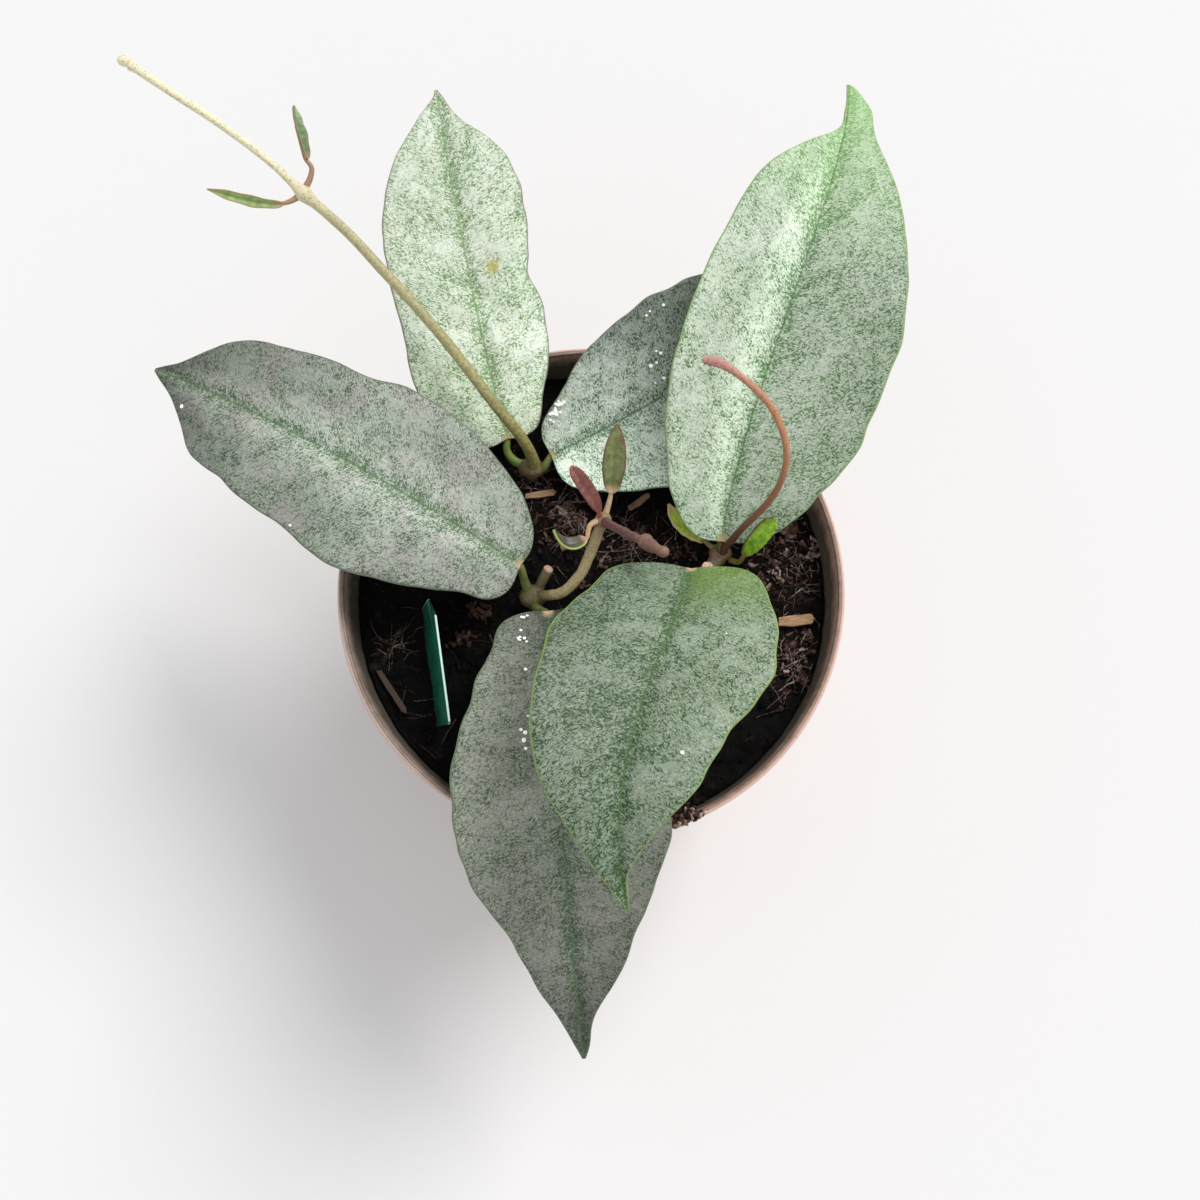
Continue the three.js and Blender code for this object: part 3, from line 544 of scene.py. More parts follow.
class Finish:
    """A material in the making: each call adds one node and gives back its output."""

    def __init__(self, name, roughness=0.5, **constants):
        self.material = bpy.data.materials.new(name)
        self.material.use_nodes = True
        self.tree = self.material.node_tree
        self.shader = self.tree.nodes["Principled BSDF"]
        self.shader.inputs["Roughness"].default_value = roughness
        for socket, value in constants.items():
            self.shader.inputs[socket.replace("_", " ")].default_value = value
        self.place = self.add("ShaderNodeTexCoord", {}).outputs["Object"]

    def add(self, kind, values, **settings):
        node = self.tree.nodes.new(kind)
        for setting, value in settings.items():
            setattr(node, setting, value)
        for socket, value in values.items():
            if isinstance(value, bpy.types.NodeSocket):
                self.tree.links.new(value, node.inputs[socket])
            else:
                node.inputs[socket].default_value = value
        return node

    def attribute(self, name):
        return self.add("ShaderNodeAttribute", {}, attribute_name=name).outputs["Fac"]

    def uv(self):
        return self.add("ShaderNodeTexCoord", {}).outputs["UV"]

    def stretched(self, vector, factors):
        return self.add("ShaderNodeMapping", {"Vector": vector, "Scale": factors}).outputs["Vector"]

    def noise(self, size, detail=3, rough=0.5, distortion=0.0, place=None):
        """Soft noise whose features are about size millimetres across."""
        values = {
            "Vector": place or self.place, "Scale": 1 / (size * MM), "Detail": detail,
            "Roughness": rough, "Distortion": distortion}
        return self.add("ShaderNodeTexNoise", values).outputs["Fac"]

    def cells(self, size, place=None):
        """Distance from the nearest of points that lie about size millimetres apart."""
        values = {"Vector": place or self.place, "Scale": 1 / (size * MM)}
        return self.add("ShaderNodeTexVoronoi", values).outputs["Distance"]

    def ramp(self, value, start, end, low=0.0, high=1.0, smooth=False):
        values = {"Value": value, "From Min": start, "From Max": end, "To Min": low, "To Max": high}
        kind = "SMOOTHSTEP" if smooth else "LINEAR"
        return self.add("ShaderNodeMapRange", values, interpolation_type=kind).outputs["Result"]

    def patches(self, size, start, end, low=0.0, high=1.0, **kind):
        """Noise that goes from low where it is at start to high where it is at end."""
        return self.ramp(self.noise(size, **kind), start, end, low, high)

    def maths(self, operation, first, second=0.0, clamp=False):
        node = self.add("ShaderNodeMath", {0: first, 1: second}, operation=operation, use_clamp=clamp)
        return node.outputs["Value"]

    def total(self, *values):
        result = values[0]
        for value in values[1:]:
            result = self.maths("ADD", result, value)
        return result

    def times(self, first, second):
        return self.maths("MULTIPLY", first, second)

    def off(self, value, middle=0.5):
        """How far the value is from the middle."""
        return self.maths("ABSOLUTE", self.maths("SUBTRACT", value, middle))

    def mix(self, share, first, second, blend="MIX"):
        """The first colour, going to the second as share goes to 1. A colour may be written as #rrggbb."""
        first, second = (linear(colour) if isinstance(colour, str) else colour for colour in (first, second))
        values = {0: share, 6: first, 7: second}
        return self.add("ShaderNodeMix", values, data_type="RGBA", blend_type=blend).outputs[2]

    def lit(self, colour, brightness):
        """The colour made brighter or darker by a factor."""
        return self.mix(1.0, colour, brightness, blend="MULTIPLY")

    def near(self, point, reach):
        """1 at a point of the frame, given in millimetres, falling to 0 at reach from it."""
        far = self.add("ShaderNodeVectorMath", {0: self.place, 1: Vector(point) * MM}, operation="DISTANCE")
        return self.ramp(far.outputs["Value"], reach * MM, 0.3 * reach * MM, smooth=True)

    def axis(self, k):
        """The place along one axis, in metres."""
        return self.add("ShaderNodeSeparateXYZ", {"Vector": self.place}).outputs[k]

    def bump(self, height, depth, strength=1.0):
        """Relief of depth millimetres where the height goes from 0 to 1."""
        values = {"Height": height, "Distance": depth * MM, "Strength": strength}
        normal = self.add("ShaderNodeBump", values).outputs["Normal"]
        self.tree.links.new(normal, self.shader.inputs["Normal"])

    def finish(self, colour, roughness=None):
        self.tree.links.new(colour, self.shader.inputs["Base Color"])
        if roughness is not None:
            self.tree.links.new(roughness, self.shader.inputs["Roughness"])
        return self.material


VEIN_SLANT = 0.45  # way along the midrib for each millimetre out from it
STROKE_STRETCH = 0.5  # how much a millimetre out from the midrib counts in the pattern
STROKE_WIDTHS = -0.006, 0.1  # from where there are none to where they are broadest
STROKE_HARDNESS = 30  # how sharply they end


def strokes(f, size, crowding):
    """Short wandering strokes that stand closer and broader where crowding, from 0 to 1, is high.

    They run along the side veins, so their pattern is drawn on the leaf's own lengths in millimetres: the way
    along the midrib, less the slant of the veins, and the distance out from it, which counts for half.
    """
    out = f.attribute("rib_mm")
    way = f.times(f.total(f.attribute("way_mm"), f.times(out, -VEIN_SLANT)), MM)
    beyond = f.times(f.times(out, f.maths("SIGN", f.attribute("side"))), STROKE_STRETCH * MM)
    place = f.add("ShaderNodeCombineXYZ", {"X": way, "Y": beyond}).outputs["Vector"]
    wander = f.noise(size, detail=3, rough=0.55, distortion=0.5, place=place)
    width = f.ramp(crowding, 0, 1, *STROKE_WIDTHS)
    drawn = f.maths("MULTIPLY", f.maths("SUBTRACT", width, f.off(wander)), STROKE_HARDNESS, clamp=True)
    breaks = f.patches(0.8 * size, 0.40, 0.50, detail=2, rough=0.6)
    return f.times(drawn, f.maths("MAXIMUM", breaks, f.ramp(crowding, 0.75, 1.1, 0.0, 0.7)))


def silver_leaf(name, look, stroke):
    """Thick silvery leaf tissue with dark green strokes, crowded along the midrib, veins and edge."""
    f = Finish(name, roughness=0.5)
    f.shader.inputs["Specular IOR Level"].default_value = 0.35
    rib, edge, vein = f.attribute("rib_mm"), f.attribute("edge_mm"), f.attribute("vein")
    along, upper, stalk = f.attribute("along"), f.attribute("upper"), f.attribute("stalk")
    side = f.attribute("side")
    cloud = f.noise(11, detail=3, rough=0.6)
    blob = f.noise(2.6, detail=4, rough=0.65, distortion=0.6)
    near_rib = f.ramp(rib, 3.2, 0.3, smooth=True)
    near_edge = f.ramp(edge, 2.6, 0.1, smooth=True)
    crowding = f.total(
        look["crowd"] - 1.2, f.times(cloud, 0.9), f.times(blob, 1.6),
        f.times(near_rib, 0.4), f.times(near_edge, 0.2), f.times(vein, 0.4),
        f.times(side, look.get("crowd_lean", 0.0)))
    crowding = f.maths("MINIMUM", f.maths("MAXIMUM", crowding, 0.0), 1.0)
    drawn = strokes(f, stroke, crowding)
    shading = f.total(f.times(f.noise(22, detail=2), 1.4), f.times(f.noise(3.8, detail=3), 0.5), -0.45)
    shading = f.maths("MULTIPLY", shading, 1.0, clamp=True)
    tissue = f.mix(shading, look["silver"], look["shade"])
    warmth = f.times(f.patches(9, 0.46, 0.64, detail=3), look["tint"])
    tissue = f.mix(warmth, tissue, look["warm"])
    grain = f.patches(0.5, 0.4, 0.6, detail=3, rough=0.7)
    grain = f.times(grain, f.ramp(crowding, 0.1, 0.7, 0.3, 0.65))
    tissue = f.mix(grain, tissue, look["green"])
    pale_fleck = f.patches(0.42, 0.56, 0.64, 0.0, 0.25, detail=2, rough=0.6, distortion=0.5)
    tissue = f.mix(pale_fleck, tissue, (1, 1, 1, 1))
    tissue = f.mix(f.ramp(crowding, 0.45, 1.0, 0.0, 0.2), tissue, look["green"])
    face = f.mix(f.times(drawn, 0.95), tissue, look["fleck"])
    # Painted light and shade: the tissue is made brighter or darker from base to tip and towards one side,
    # and brighter in a stripe, for the light and shade that fall on the leaf.
    at_base, halfway, at_tip, lean = look["light"]
    painted_light = f.total(
        f.ramp(along, 0.0, 0.5, at_base, halfway), f.ramp(along, 0.5, 1.0, 0.0, at_tip - halfway),
        f.times(side, f.ramp(along, 0.5, 1.0, lean, 0.0)))
    if "band" in look:
        centre, reach, gain = look["band"]
        painted_light = f.total(painted_light, f.ramp(f.off(side, centre), reach, 0.0, 0.0, gain, smooth=True))
    face = f.lit(face, painted_light)
    if "tip" in look:
        face = f.mix(f.ramp(along, 0.55, 0.95, 0.0, 0.5), face, look["tip"])
    streaky = f.patches(0.6, 0.4, 0.6, 0.5, 1.0, detail=2)
    fresh = f.times(f.ramp(rib, 1.8, 0.3, smooth=True), f.ramp(along, 0.45, 0.04, 0.0, look["fresh"]))
    face = f.mix(f.times(fresh, streaky), face, look["rib"])
    if "fresh_side" in look:
        one_side = f.ramp(f.times(side, look["fresh_side"]), 0.02, 0.12)
        wide = f.times(f.times(f.ramp(along, 0.28, 0.02, 0.0, 1.0, smooth=True), one_side), streaky)
        face = f.mix(wide, face, FRESH_GREEN)
    on_rib = f.ramp(f.total(rib, f.times(f.noise(0.8), 0.6)), 0.7, 0.3, 0.0, 0.7, smooth=True)
    face = f.mix(on_rib, face, look["rib"])
    face = f.mix(f.ramp(edge, 0.5, 0.1, 0.0, 0.8, smooth=True), face, look["margin"])
    if "blemish" in look:
        stain = f.times(f.near(look["blemish"], 2.6), f.patches(1.6, 0.42, 0.52, detail=3))
        face = f.mix(f.times(stain, 0.85), face, LEAF_STAIN)
    cream = f.times(f.ramp(along, 0.022, 0.004), f.ramp(rib, 1.6, 0.6))
    face = f.mix(cream, face, BASE_CREAM)
    under = f.mix(f.ramp(blob, 0.4, 0.62), UNDERSIDE, UNDERSIDE_DEEP)
    face = f.mix(upper, under, face)
    twig = f.mix(f.patches(2.4, 0.44, 0.66, 0.0, 0.6, detail=3), look["stalk"], STALK_BROWN)
    face = f.mix(stalk, face, twig)
    fine, broad = f.noise(0.45, detail=3), f.noise(1.8, detail=3)
    f.bump(f.total(f.times(fine, 0.5), f.times(drawn, -0.45), f.times(broad, 2.6)), 0.13, 0.8)
    gloss = f.ramp(blob, 0.3, 0.7, 0.44, 0.58)
    return f.finish(face, gloss)


def young_leaf(name, look):
    """Thin young leaf: green or red, darker in blots, with a coloured edge."""
    f = Finish(name, roughness=0.4)
    rib, edge, along = f.attribute("rib_mm"), f.attribute("edge_mm"), f.attribute("along")
    beside = 1.0
    if "margin_side" in look:
        beside = f.ramp(f.times(f.attribute("side"), look["margin_side"]), -0.1, 0.2)
    patch = f.noise(1.3, detail=3, rough=0.6)
    face = f.mix(f.ramp(patch, 0.38, 0.64), look["face"], look["deep"])
    blots = f.times(f.patches(2.6, 0.54, 0.62, detail=4, rough=0.7), look["blemish"])
    face = f.mix(blots, face, look["margin"])
    face = f.mix(f.ramp(rib, 0.3, 0.08, 0.0, 0.5), face, look["deep"])
    on_edge = f.times(f.ramp(edge, look["edge"], 0.1, 0.0, 0.9, smooth=True), beside)
    face = f.mix(on_edge, face, look["margin"])
    if "tip" in look:
        face = f.mix(f.ramp(along, 0.76, 0.92, 0.0, 0.85), face, look["tip"])
    base = f.mix(f.patches(1.1, 0.4, 0.6), look["stalk"], look["deep"])
    base = f.mix(0.75, base, look["stalk"])
    lower_end = f.ramp(along, 0.16, 0.02, smooth=True)
    face = f.mix(f.maths("MAXIMUM", lower_end, f.attribute("stalk")), face, base)
    f.bump(f.total(patch, f.times(f.noise(0.3), 0.3)), 0.12)
    return f.finish(face)


def pot_plastic(name, colour):
    """Thin moulded plastic, faintly mottled, with peat dust and painted shade on the inside, painted shade on
    its left, and scuffs, soil and painted shade along the rim.
    """
    f = Finish(name, roughness=0.42)
    inside = f.attribute("inside")
    height = f.attribute("height")
    paler = f.mix(0.1, colour, (1, 1, 1, 1))
    darker = f.mix(0.1, colour, PLASTIC_DEEP)
    plastic = f.mix(f.patches(16, 0.3, 0.7, detail=5), darker, paler)
    flow = f.noise(1.0, detail=3, place=f.stretched(f.place, (1, 1, 0.06)))
    plastic = f.mix(f.ramp(flow, 0.5, 0.7, 0.0, 0.25), plastic, darker)
    dust = f.mix(f.noise(1.6, detail=4), DUST_AND_SHADE_DARK, DUST_AND_SHADE_PALE)
    leftward = f.ramp(f.axis("X"), 0.0, -0.05)
    worn = f.patches(3.2, 0.3, 0.62, detail=4, rough=0.65)
    # Inside, the wall is darkened more towards the bottom, partly peat dust and partly painted shade.
    low = f.ramp(height, 99.4, 94.0)
    dust_and_shade_share = f.times(inside, f.maths("MINIMUM", f.total(f.times(low, 0.8), f.times(worn, 0.35)), 0.95))
    # The inner part of the rim's top is darkened, partly soil and partly painted shade.
    inner_lip = f.ramp(f.attribute("outward"), 0.75, 0.3)
    lip_soil_and_shade = f.times(f.ramp(height, 98.9, 99.6), f.times(inner_lip, f.ramp(worn, 0, 1, 0.55, 0.95)))
    # Painted shade: the plastic is greyed towards the left, the side away from the key light.
    plastic = f.mix(f.times(leftward, 0.55), plastic, PLASTIC_SHADED)
    face = f.mix(lip_soil_and_shade, plastic, LIP_SOIL_AND_SHADE)
    face = f.mix(dust_and_shade_share, face, dust)
    specks = f.times(f.patches(0.7, 0.66, 0.72, detail=2), f.ramp(height, 60, 100, 0.0, 0.5))
    face = f.mix(specks, face, POT_SPECK)
    f.bump(f.total(f.noise(0.5, detail=3), f.times(flow, 0.6)), 0.05, 0.6)
    return f.finish(face, f.ramp(dust_and_shade_share, 0, 1, 0.38, 0.8))


def peat_finish(name, dark, light):
    """Moist peat: near black, brown on its lumps; tint makes a crumb or fibre lighter, and on the peat's
    surface it is painted light on the tops of the clods, which leaves the hollows near black as painted
    shade.
    """
    f = Finish(name, roughness=0.92)
    f.shader.inputs["Specular IOR Level"].default_value = 0.12
    tint, dry = f.attribute("tint"), f.attribute("dry")
    grain = f.noise(0.9, detail=5, rough=0.72)
    lumps = f.times(f.ramp(grain, 0.46, 0.76), f.ramp(dry, 0.0, 0.6, 0.2, 1.0))
    face = f.mix(lumps, dark, PEAT_LUMP)
    fibres = f.noise(0.8, detail=3, distortion=1.6, place=f.stretched(f.place, (1, 0.35, 1)))
    pale_fibre = f.times(f.ramp(grain, 0.52, 0.64, 0, 0.7), dry)
    face = f.mix(f.times(f.ramp(f.off(fibres), 0.014, 0.004), pale_fibre), face, light)
    russet = f.mix(f.patches(0.7, 0.35, 0.65, detail=3), PEAT_RUSSET, light)
    face = f.mix(f.ramp(tint, 0.0, 0.5), face, russet)
    pale = f.mix(f.patches(0.6, 0.35, 0.65, detail=3), CRUMB_PALE, CRUMB_PALEST)
    face = f.mix(f.ramp(tint, 0.5, 1.0), face, pale)
    f.bump(f.total(grain, f.times(f.noise(0.35, detail=3), 0.5)), 0.5)
    return f.finish(face, f.ramp(grain, 0.4, 0.7, 0.5, 0.95))


def chip_wood(name, grey):
    """Softwood with its grain along the chip, dark and grey where it is weathered."""
    f = Finish(name, roughness=0.8)
    grain = f.noise(0.25, detail=3, rough=0.6, distortion=0.4, place=f.stretched(f.uv(), (0.08, 1, 1)))
    face = f.mix(f.ramp(grain, 0.36, 0.64), WOOD_PALE, WOOD_DEEP)
    stain = f.patches(2.2, 0.52, 0.66, 0.0, 0.6, detail=3)
    face = f.mix(stain, face, WOOD_STAIN)
    face = f.mix(f.times(f.ramp(grain, 0.2, 0.8, 1.0, 0.9), grey), face, WOOD_WEATHERED)
    f.bump(grain, 0.15)
    return f.finish(face)


def label_plastic(name, colour):
    """Coloured sheet, pale along its edges, partly the pale core that cut edges show and partly a painted
    highlight, scratched, and soiled near the peat.
    """
    f = Finish(name, roughness=0.42)
    f.shader.inputs["Specular IOR Level"].default_value = 0.3
    cloudy = f.noise(5, detail=3)
    deep = f.mix(0.55, colour, LABEL_DEEP)
    face = f.mix(f.ramp(cloudy, 0.35, 0.65), colour, deep)
    scratch = f.noise(0.5, detail=2, distortion=0.8, place=f.stretched(f.place, (1, 1, 0.12)))
    face = f.mix(f.ramp(f.off(scratch), 0.012, 0.003, 0.0, 0.35), face, LABEL_SCRATCH)
    # Pale edges: partly the pale core, partly a painted highlight along them.
    top_edge = f.ramp(f.attribute("down"), 0.3, 0.12)
    bare = f.maths("MAXIMUM", top_edge, f.ramp(f.attribute("beside"), 0.35, 0.15))
    face = f.mix(f.times(bare, 0.85), face, LABEL_CORE_AND_HIGHLIGHT)
    soiled = f.times(f.ramp(f.attribute("height"), 95, 89), f.patches(1.4, 0.42, 0.6, detail=4))
    face = f.mix(soiled, face, LABEL_SOIL)
    f.bump(scratch, 0.03)
    return f.finish(face, f.ramp(soiled, 0, 1, 0.42, 0.9))


def stem_skin(name, colour, deep, warm, speckle, young=None, young_from=0.096, young_at=0.102):
    """Streaked, speckled bark, warmer at the nodes and pale where it was cut.

    young is its colour higher up: it begins at the height young_from and is full at young_at, in metres.
    """
    f = Finish(name, roughness=0.5)
    streak = f.noise(0.9, detail=4, rough=0.6)
    face = f.mix(f.ramp(streak, 0.38, 0.64), colour, deep)
    if young:
        face = f.mix(f.ramp(f.axis("Z"), young_from, young_at, 0.0, 0.85), face, young)
    face = f.mix(f.times(f.attribute("warm"), 0.8), face, warm)
    face = f.mix(f.times(f.attribute("pale"), 0.9), face, SHOOT_END)
    dots = f.ramp(f.cells(0.5), 0.24, 0.16, 0.0, speckle)
    face = f.mix(dots, face, BARK_DOT)
    pits = f.patches(0.45, 0.56, 0.62, 0.0, 0.45, detail=2)
    face = f.mix(pits, face, deep)
    rings = f.patches(0.5, 0.4, 0.6, detail=2)
    wood = f.mix(rings, CUT_PALE, CUT_DEEP)
    face = f.mix(f.attribute("cut"), face, wood)
    f.bump(f.total(streak, f.times(dots, 0.6)), 0.12)
    return f.finish(face)


def droplet_white(name, colour):
    """Dried white droplets, chalky and a little uneven, with a faint painted glow."""
    # The faint white emission is a painted glow that keeps them as bright as glints.
    f = Finish(name, roughness=0.35, Emission_Strength=0.3, Emission_Color=(1, 1, 1, 1))
    chalk = f.noise(0.3)
    face = f.mix(chalk, colour, CHALK)
    f.bump(chalk, 0.05)
    return f.finish(face)


def floor_paint(name, colour):
    """Plain matt paint, faintly uneven."""
    f = Finish(name, roughness=0.85)
    face = f.mix(f.patches(60, 0.3, 0.7, 0.0, 0.025, detail=3), colour, FLOOR_SHADE)
    return f.finish(face)


# ---- mesh helpers ----


def vectors(points):
    return [Vector(point) for point in points]


def layer(bm, name):
    """The number that each vertex of the mesh carries under this name, for its material."""
    return bm.verts.layers.float.get(name) or bm.verts.layers.float.new(name)


def smooth_value(values, s):
    """The value at s, from 0 to 1, of a smooth curve through evenly spaced values."""
    last = len(values) - 1
    place = min(max(s, 0.0), 1.0) * last
    k = min(int(place), last - 1)
    f = place - k
    a, b, c, d = (values[min(max(i, 0), last)] for i in (k - 1, k, k + 1, k + 2))
    square, cube = 2 * a - 5 * b + 4 * c - d, 3 * b - a - 3 * c + d
    return 0.5 * (2 * b + (c - a) * f + square * f * f + cube * f ** 3)


def blend(start, end, share):
    return start + (end - start) * share


def hump(off, spread):
    """1 where off is 0, fading to nothing beyond spread."""
    return math.exp(-((off / spread) ** 2))


def path_through(points, spacing):
    """Points about every spacing along the smooth curve through the given ones."""
    points = vectors(points)
    padded = [2 * points[0] - points[1], *points, 2 * points[-1] - points[-2]]
    path = []
    for before, start, end, after in zip(padded, padded[1:], padded[2:], padded[3:]):
        g0, g1, g2 = (math.sqrt((b - a).length) for a, b in ((before, start), (start, end), (end, after)))
        leave = (start - before) / g0 - (end - before) / (g0 + g1) + (end - start) / g1
        arrive = (end - start) / g1 - (after - start) / (g1 + g2) + (after - end) / g2
        count = max(2, round((end - start).length / spacing) + 1)
        handles = start + leave * g1 / 3, end - arrive * g1 / 3
        path += interpolate_bezier(start, *handles, end, count)[:-1]
    return [*path, points[-1]]


def shares_along(path):
    """How far along the path each of its points is, from 0 to 1."""
    lengths = [0.0]
    for start, end in zip(path, path[1:]):
        lengths.append(lengths[-1] + (end - start).length)
    return [length / lengths[-1] for length in lengths]


def rounded_ends(path, radii):
    """The path and radii with steps added at both ends, so that the rod ends in small domes."""
    dome = [(0.0, 0.3), (0.06, 0.62), (0.2, 0.87), (0.5, 1.0)]
    head = [path[0] + (path[1] - path[0]).normalized() * radii[0] * far for far, _ in dome]
    tail = [path[-1] + (path[-2] - path[-1]).normalized() * radii[-1] * far for far, _ in reversed(dome)]
    grown = [radii[0] * share for _, share in dome] + radii[1:-1] + [radii[-1] * s for _, s in reversed(dome)]
    return head + path[1:-1] + tail, grown


def rod(bm, path, radius, sides=12, round_ends=True):
    """A closed rod along the path. radius is a number, or gives one for a share of the way along."""
    radii = [radius(share) if callable(radius) else radius for share in shares_along(path)]
    if round_ends:
        path, radii = rounded_ends(path, radii)
    made = bmesh.ops.create_circle(bm, cap_ends=True, segments=sides, radius=1)["verts"]
    ring, every = made, list(made)
    edges = list({edge for vert in ring for edge in vert.link_edges})
    turn = (path[1] - path[0]).to_track_quat("Z", "Y")
    placed = Matrix.Identity(4)
    last = len(path) - 1
    for k, (point, thickness) in enumerate(zip(path, radii)):
        ahead = (path[min(k + 1, last)] - path[max(k - 1, 0)]).normalized()
        turn = (turn @ UPWARDS).rotation_difference(ahead) @ turn
        place = Matrix.LocRotScale(point, turn, Vector((thickness,) * 3))
        if k:
            grown = bmesh.ops.extrude_edge_only(bm, edges=edges)["geom"]
            ring = [part for part in grown if isinstance(part, bmesh.types.BMVert)]
            edges = [part for part in grown if isinstance(part, bmesh.types.BMEdge)]
            every += ring
        bmesh.ops.transform(bm, matrix=place @ placed.inverted(), verts=ring)
        placed = place
    bmesh.ops.contextual_create(bm, geom=edges)
    return every


def ball(bm, at, half, detail=3):
    place = Matrix.LocRotScale(Vector(at), None, Vector(half))
    return bmesh.ops.create_icosphere(bm, subdivisions=detail, radius=1, matrix=place)["verts"]


def roughen(verts, amount, size, seed=0.0):
    """Moves the points in and out by up to about amount, in bumps about size across."""
    for vert in verts:
        vert.co += vert.normal * amount * noise.noise(vert.co / size + Vector((seed, 2 * seed, 3 * seed)))


def shown(name, bm):
    """The mesh, which this uses up, as an object in the scene."""
    mesh = bpy.data.meshes.new(name)
    bm.to_mesh(mesh)
    bm.free()
    made = bpy.data.objects.new(name, mesh)
    bpy.context.scene.collection.objects.link(made)
    return made


def evaluated(made):
    """What the object's modifiers make of its mesh."""
    result = bmesh.new()
    result.from_object(made, bpy.context.evaluated_depsgraph_get())
    return result


def discard(*objects):
    for used in objects:
        bpy.data.meshes.remove(used.data)


def fused(bm, voxel):
    """The rods and balls of the mesh grown together into one skin."""
    grower = shown("growing", bm)
    remesh = grower.modifiers.new("skin", "REMESH")
    remesh.mode = "VOXEL"
    remesh.voxel_size = voxel
    skin = evaluated(grower)
    discard(grower)
    for _ in range(3):
        bmesh.ops.smooth_vert(
            skin, verts=skin.verts, factor=0.5, use_axis_x=True, use_axis_y=True, use_axis_z=True)
    skin.normal_update()
    return skin


def plate(outline, bottom, thickness):
    """A flat plate raised from its outline."""
    bm = bmesh.new()
    face = bm.faces.new([bm.verts.new((x, y, bottom)) for x, y in outline])
    raised = bmesh.ops.extrude_face_region(bm, geom=[face])["geom"]
    top = [part for part in raised if isinstance(part, bmesh.types.BMVert)]
    bmesh.ops.translate(bm, vec=(0, 0, thickness), verts=top)
    return bm


def bevel(bm, width):
    bmesh.ops.bevel(bm, geom=bm.edges[:], offset=width, segments=2, profile=0.5, affect="EDGES", material=-1)


def piece(name, bm, material, replaces=(), rounding=0, sharp=None):
    """Turns a mesh in millimetres into a finished piece in metres that rides with the pot."""
    bmesh.ops.recalc_face_normals(bm, faces=bm.faces)
    bmesh.ops.scale(bm, vec=(MM, MM, MM), verts=bm.verts)
    made = shown(name, bm)
    made.data.materials.append(material)
    made.data.shade_smooth()
    if sharp is not None:
        made.data.set_sharp_from_angle(angle=math.radians(sharp))
    if rounding:
        subdivision = made.modifiers.new("rounding", "SUBSURF")
        subdivision.levels = subdivision.render_levels = rounding
    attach(made, "root")
    if replaces:
        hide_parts(*replaces)
    return made


# ---- stage ----

CAMERA_PLACE = (2.1, -70.23, 386.85)
CAMERA_TILT = 13  # degrees off straight down
CAMERA_SEES = 0.01, 20  # nearest and furthest, in metres
LENS = 37.5
SENSOR = 36
KEY_LIGHT_FROM = (0.45, 0.45, 0.77)
FLOOR_REACH = 9  # metres from the middle to each side


def build_stage(settings):
    bm = bmesh.new()
    bmesh.ops.create_grid(bm, x_segments=4, y_segments=4, size=FLOOR_REACH)
    floor = shown("floor", bm)
    floor.data.materials.append(floor_paint("floor_paint", tuple(settings.floor)))

    scene = bpy.context.scene
    world = bpy.data.worlds.new("studio")
    world.use_nodes = True
    background = world.node_tree.nodes["Background"]
    background.inputs["Color"].default_value = linear(STUDIO_WHITE)
    background.inputs["Strength"].default_value = settings.fill
    scene.world = world

    sun = bpy.data.lights.new("key_light", "SUN")
    sun.energy = settings.key
    sun.angle = settings.softness
    sun.color = linear(KEY_WHITE)[:3]
    key = bpy.data.objects.new("key_light", sun)
    key.rotation_euler = Vector(KEY_LIGHT_FROM).to_track_quat("Z", "Y").to_euler()
    scene.collection.objects.link(key)

    lens = bpy.data.cameras.new("camera")
    lens.lens = LENS
    lens.sensor_width = SENSOR
    lens.clip_start, lens.clip_end = CAMERA_SEES
    camera = bpy.data.objects.new("camera", lens)
    camera.location = Vector(CAMERA_PLACE) * MM
    camera.rotation_euler = (math.radians(CAMERA_TILT), 0, 0)
    scene.collection.objects.link(camera)
    scene.camera = camera
    scene.view_settings.view_transform = "Standard"


# ---- pot ----


def inner_radius(z):
    return RIM_RADIUS - LIP - WALL_LEAN * (POT_HEIGHT - z)


def spun(profile, steps):
    """The profile, points of radius and height from axis to axis, turned into a closed body."""
    bm = bmesh.new()
    verts = [bm.verts.new((radius, 0, height)) for radius, height in profile]
    for pair in zip(verts, verts[1:]):
        bm.edges.new(pair)
    bmesh.ops.spin(
        bm, geom=bm.verts[:] + bm.edges[:], cent=(0, 0, 0), axis=(0, 0, 1), dvec=(0, 0, 0), angle=ROUND,
        steps=steps, use_merge=True, use_normal_flip=False, use_duplicate=False)
    bmesh.ops.remove_doubles(bm, verts=bm.verts, dist=1e-4)
    bmesh.ops.recalc_face_normals(bm, faces=bm.faces)
    return bm


def drilled(bm):
    """The pot's shell with its drainage holes cut through the raised ring of the floor."""
    drills = bmesh.new()
    for k in range(DRAIN_HOLES):
        angle = ROUND * (k + 0.5) / DRAIN_HOLES
        place = Matrix.Translation((DRAIN_CIRCLE * math.cos(angle), DRAIN_CIRCLE * math.sin(angle), ARCH))
        bmesh.ops.create_cone(
            drills, cap_ends=True, segments=32, radius1=DRAIN_RADIUS, radius2=DRAIN_RADIUS, depth=4 * ARCH,
            matrix=place)
    shell, cutter = shown("shell", bm), shown("drills", drills)
    cut = shell.modifiers.new("drain holes", "BOOLEAN")
    cut.operation = "DIFFERENCE"
    cut.solver = "EXACT"
    cut.object = cutter
    result = evaluated(shell)
    discard(shell, cutter)
    return result


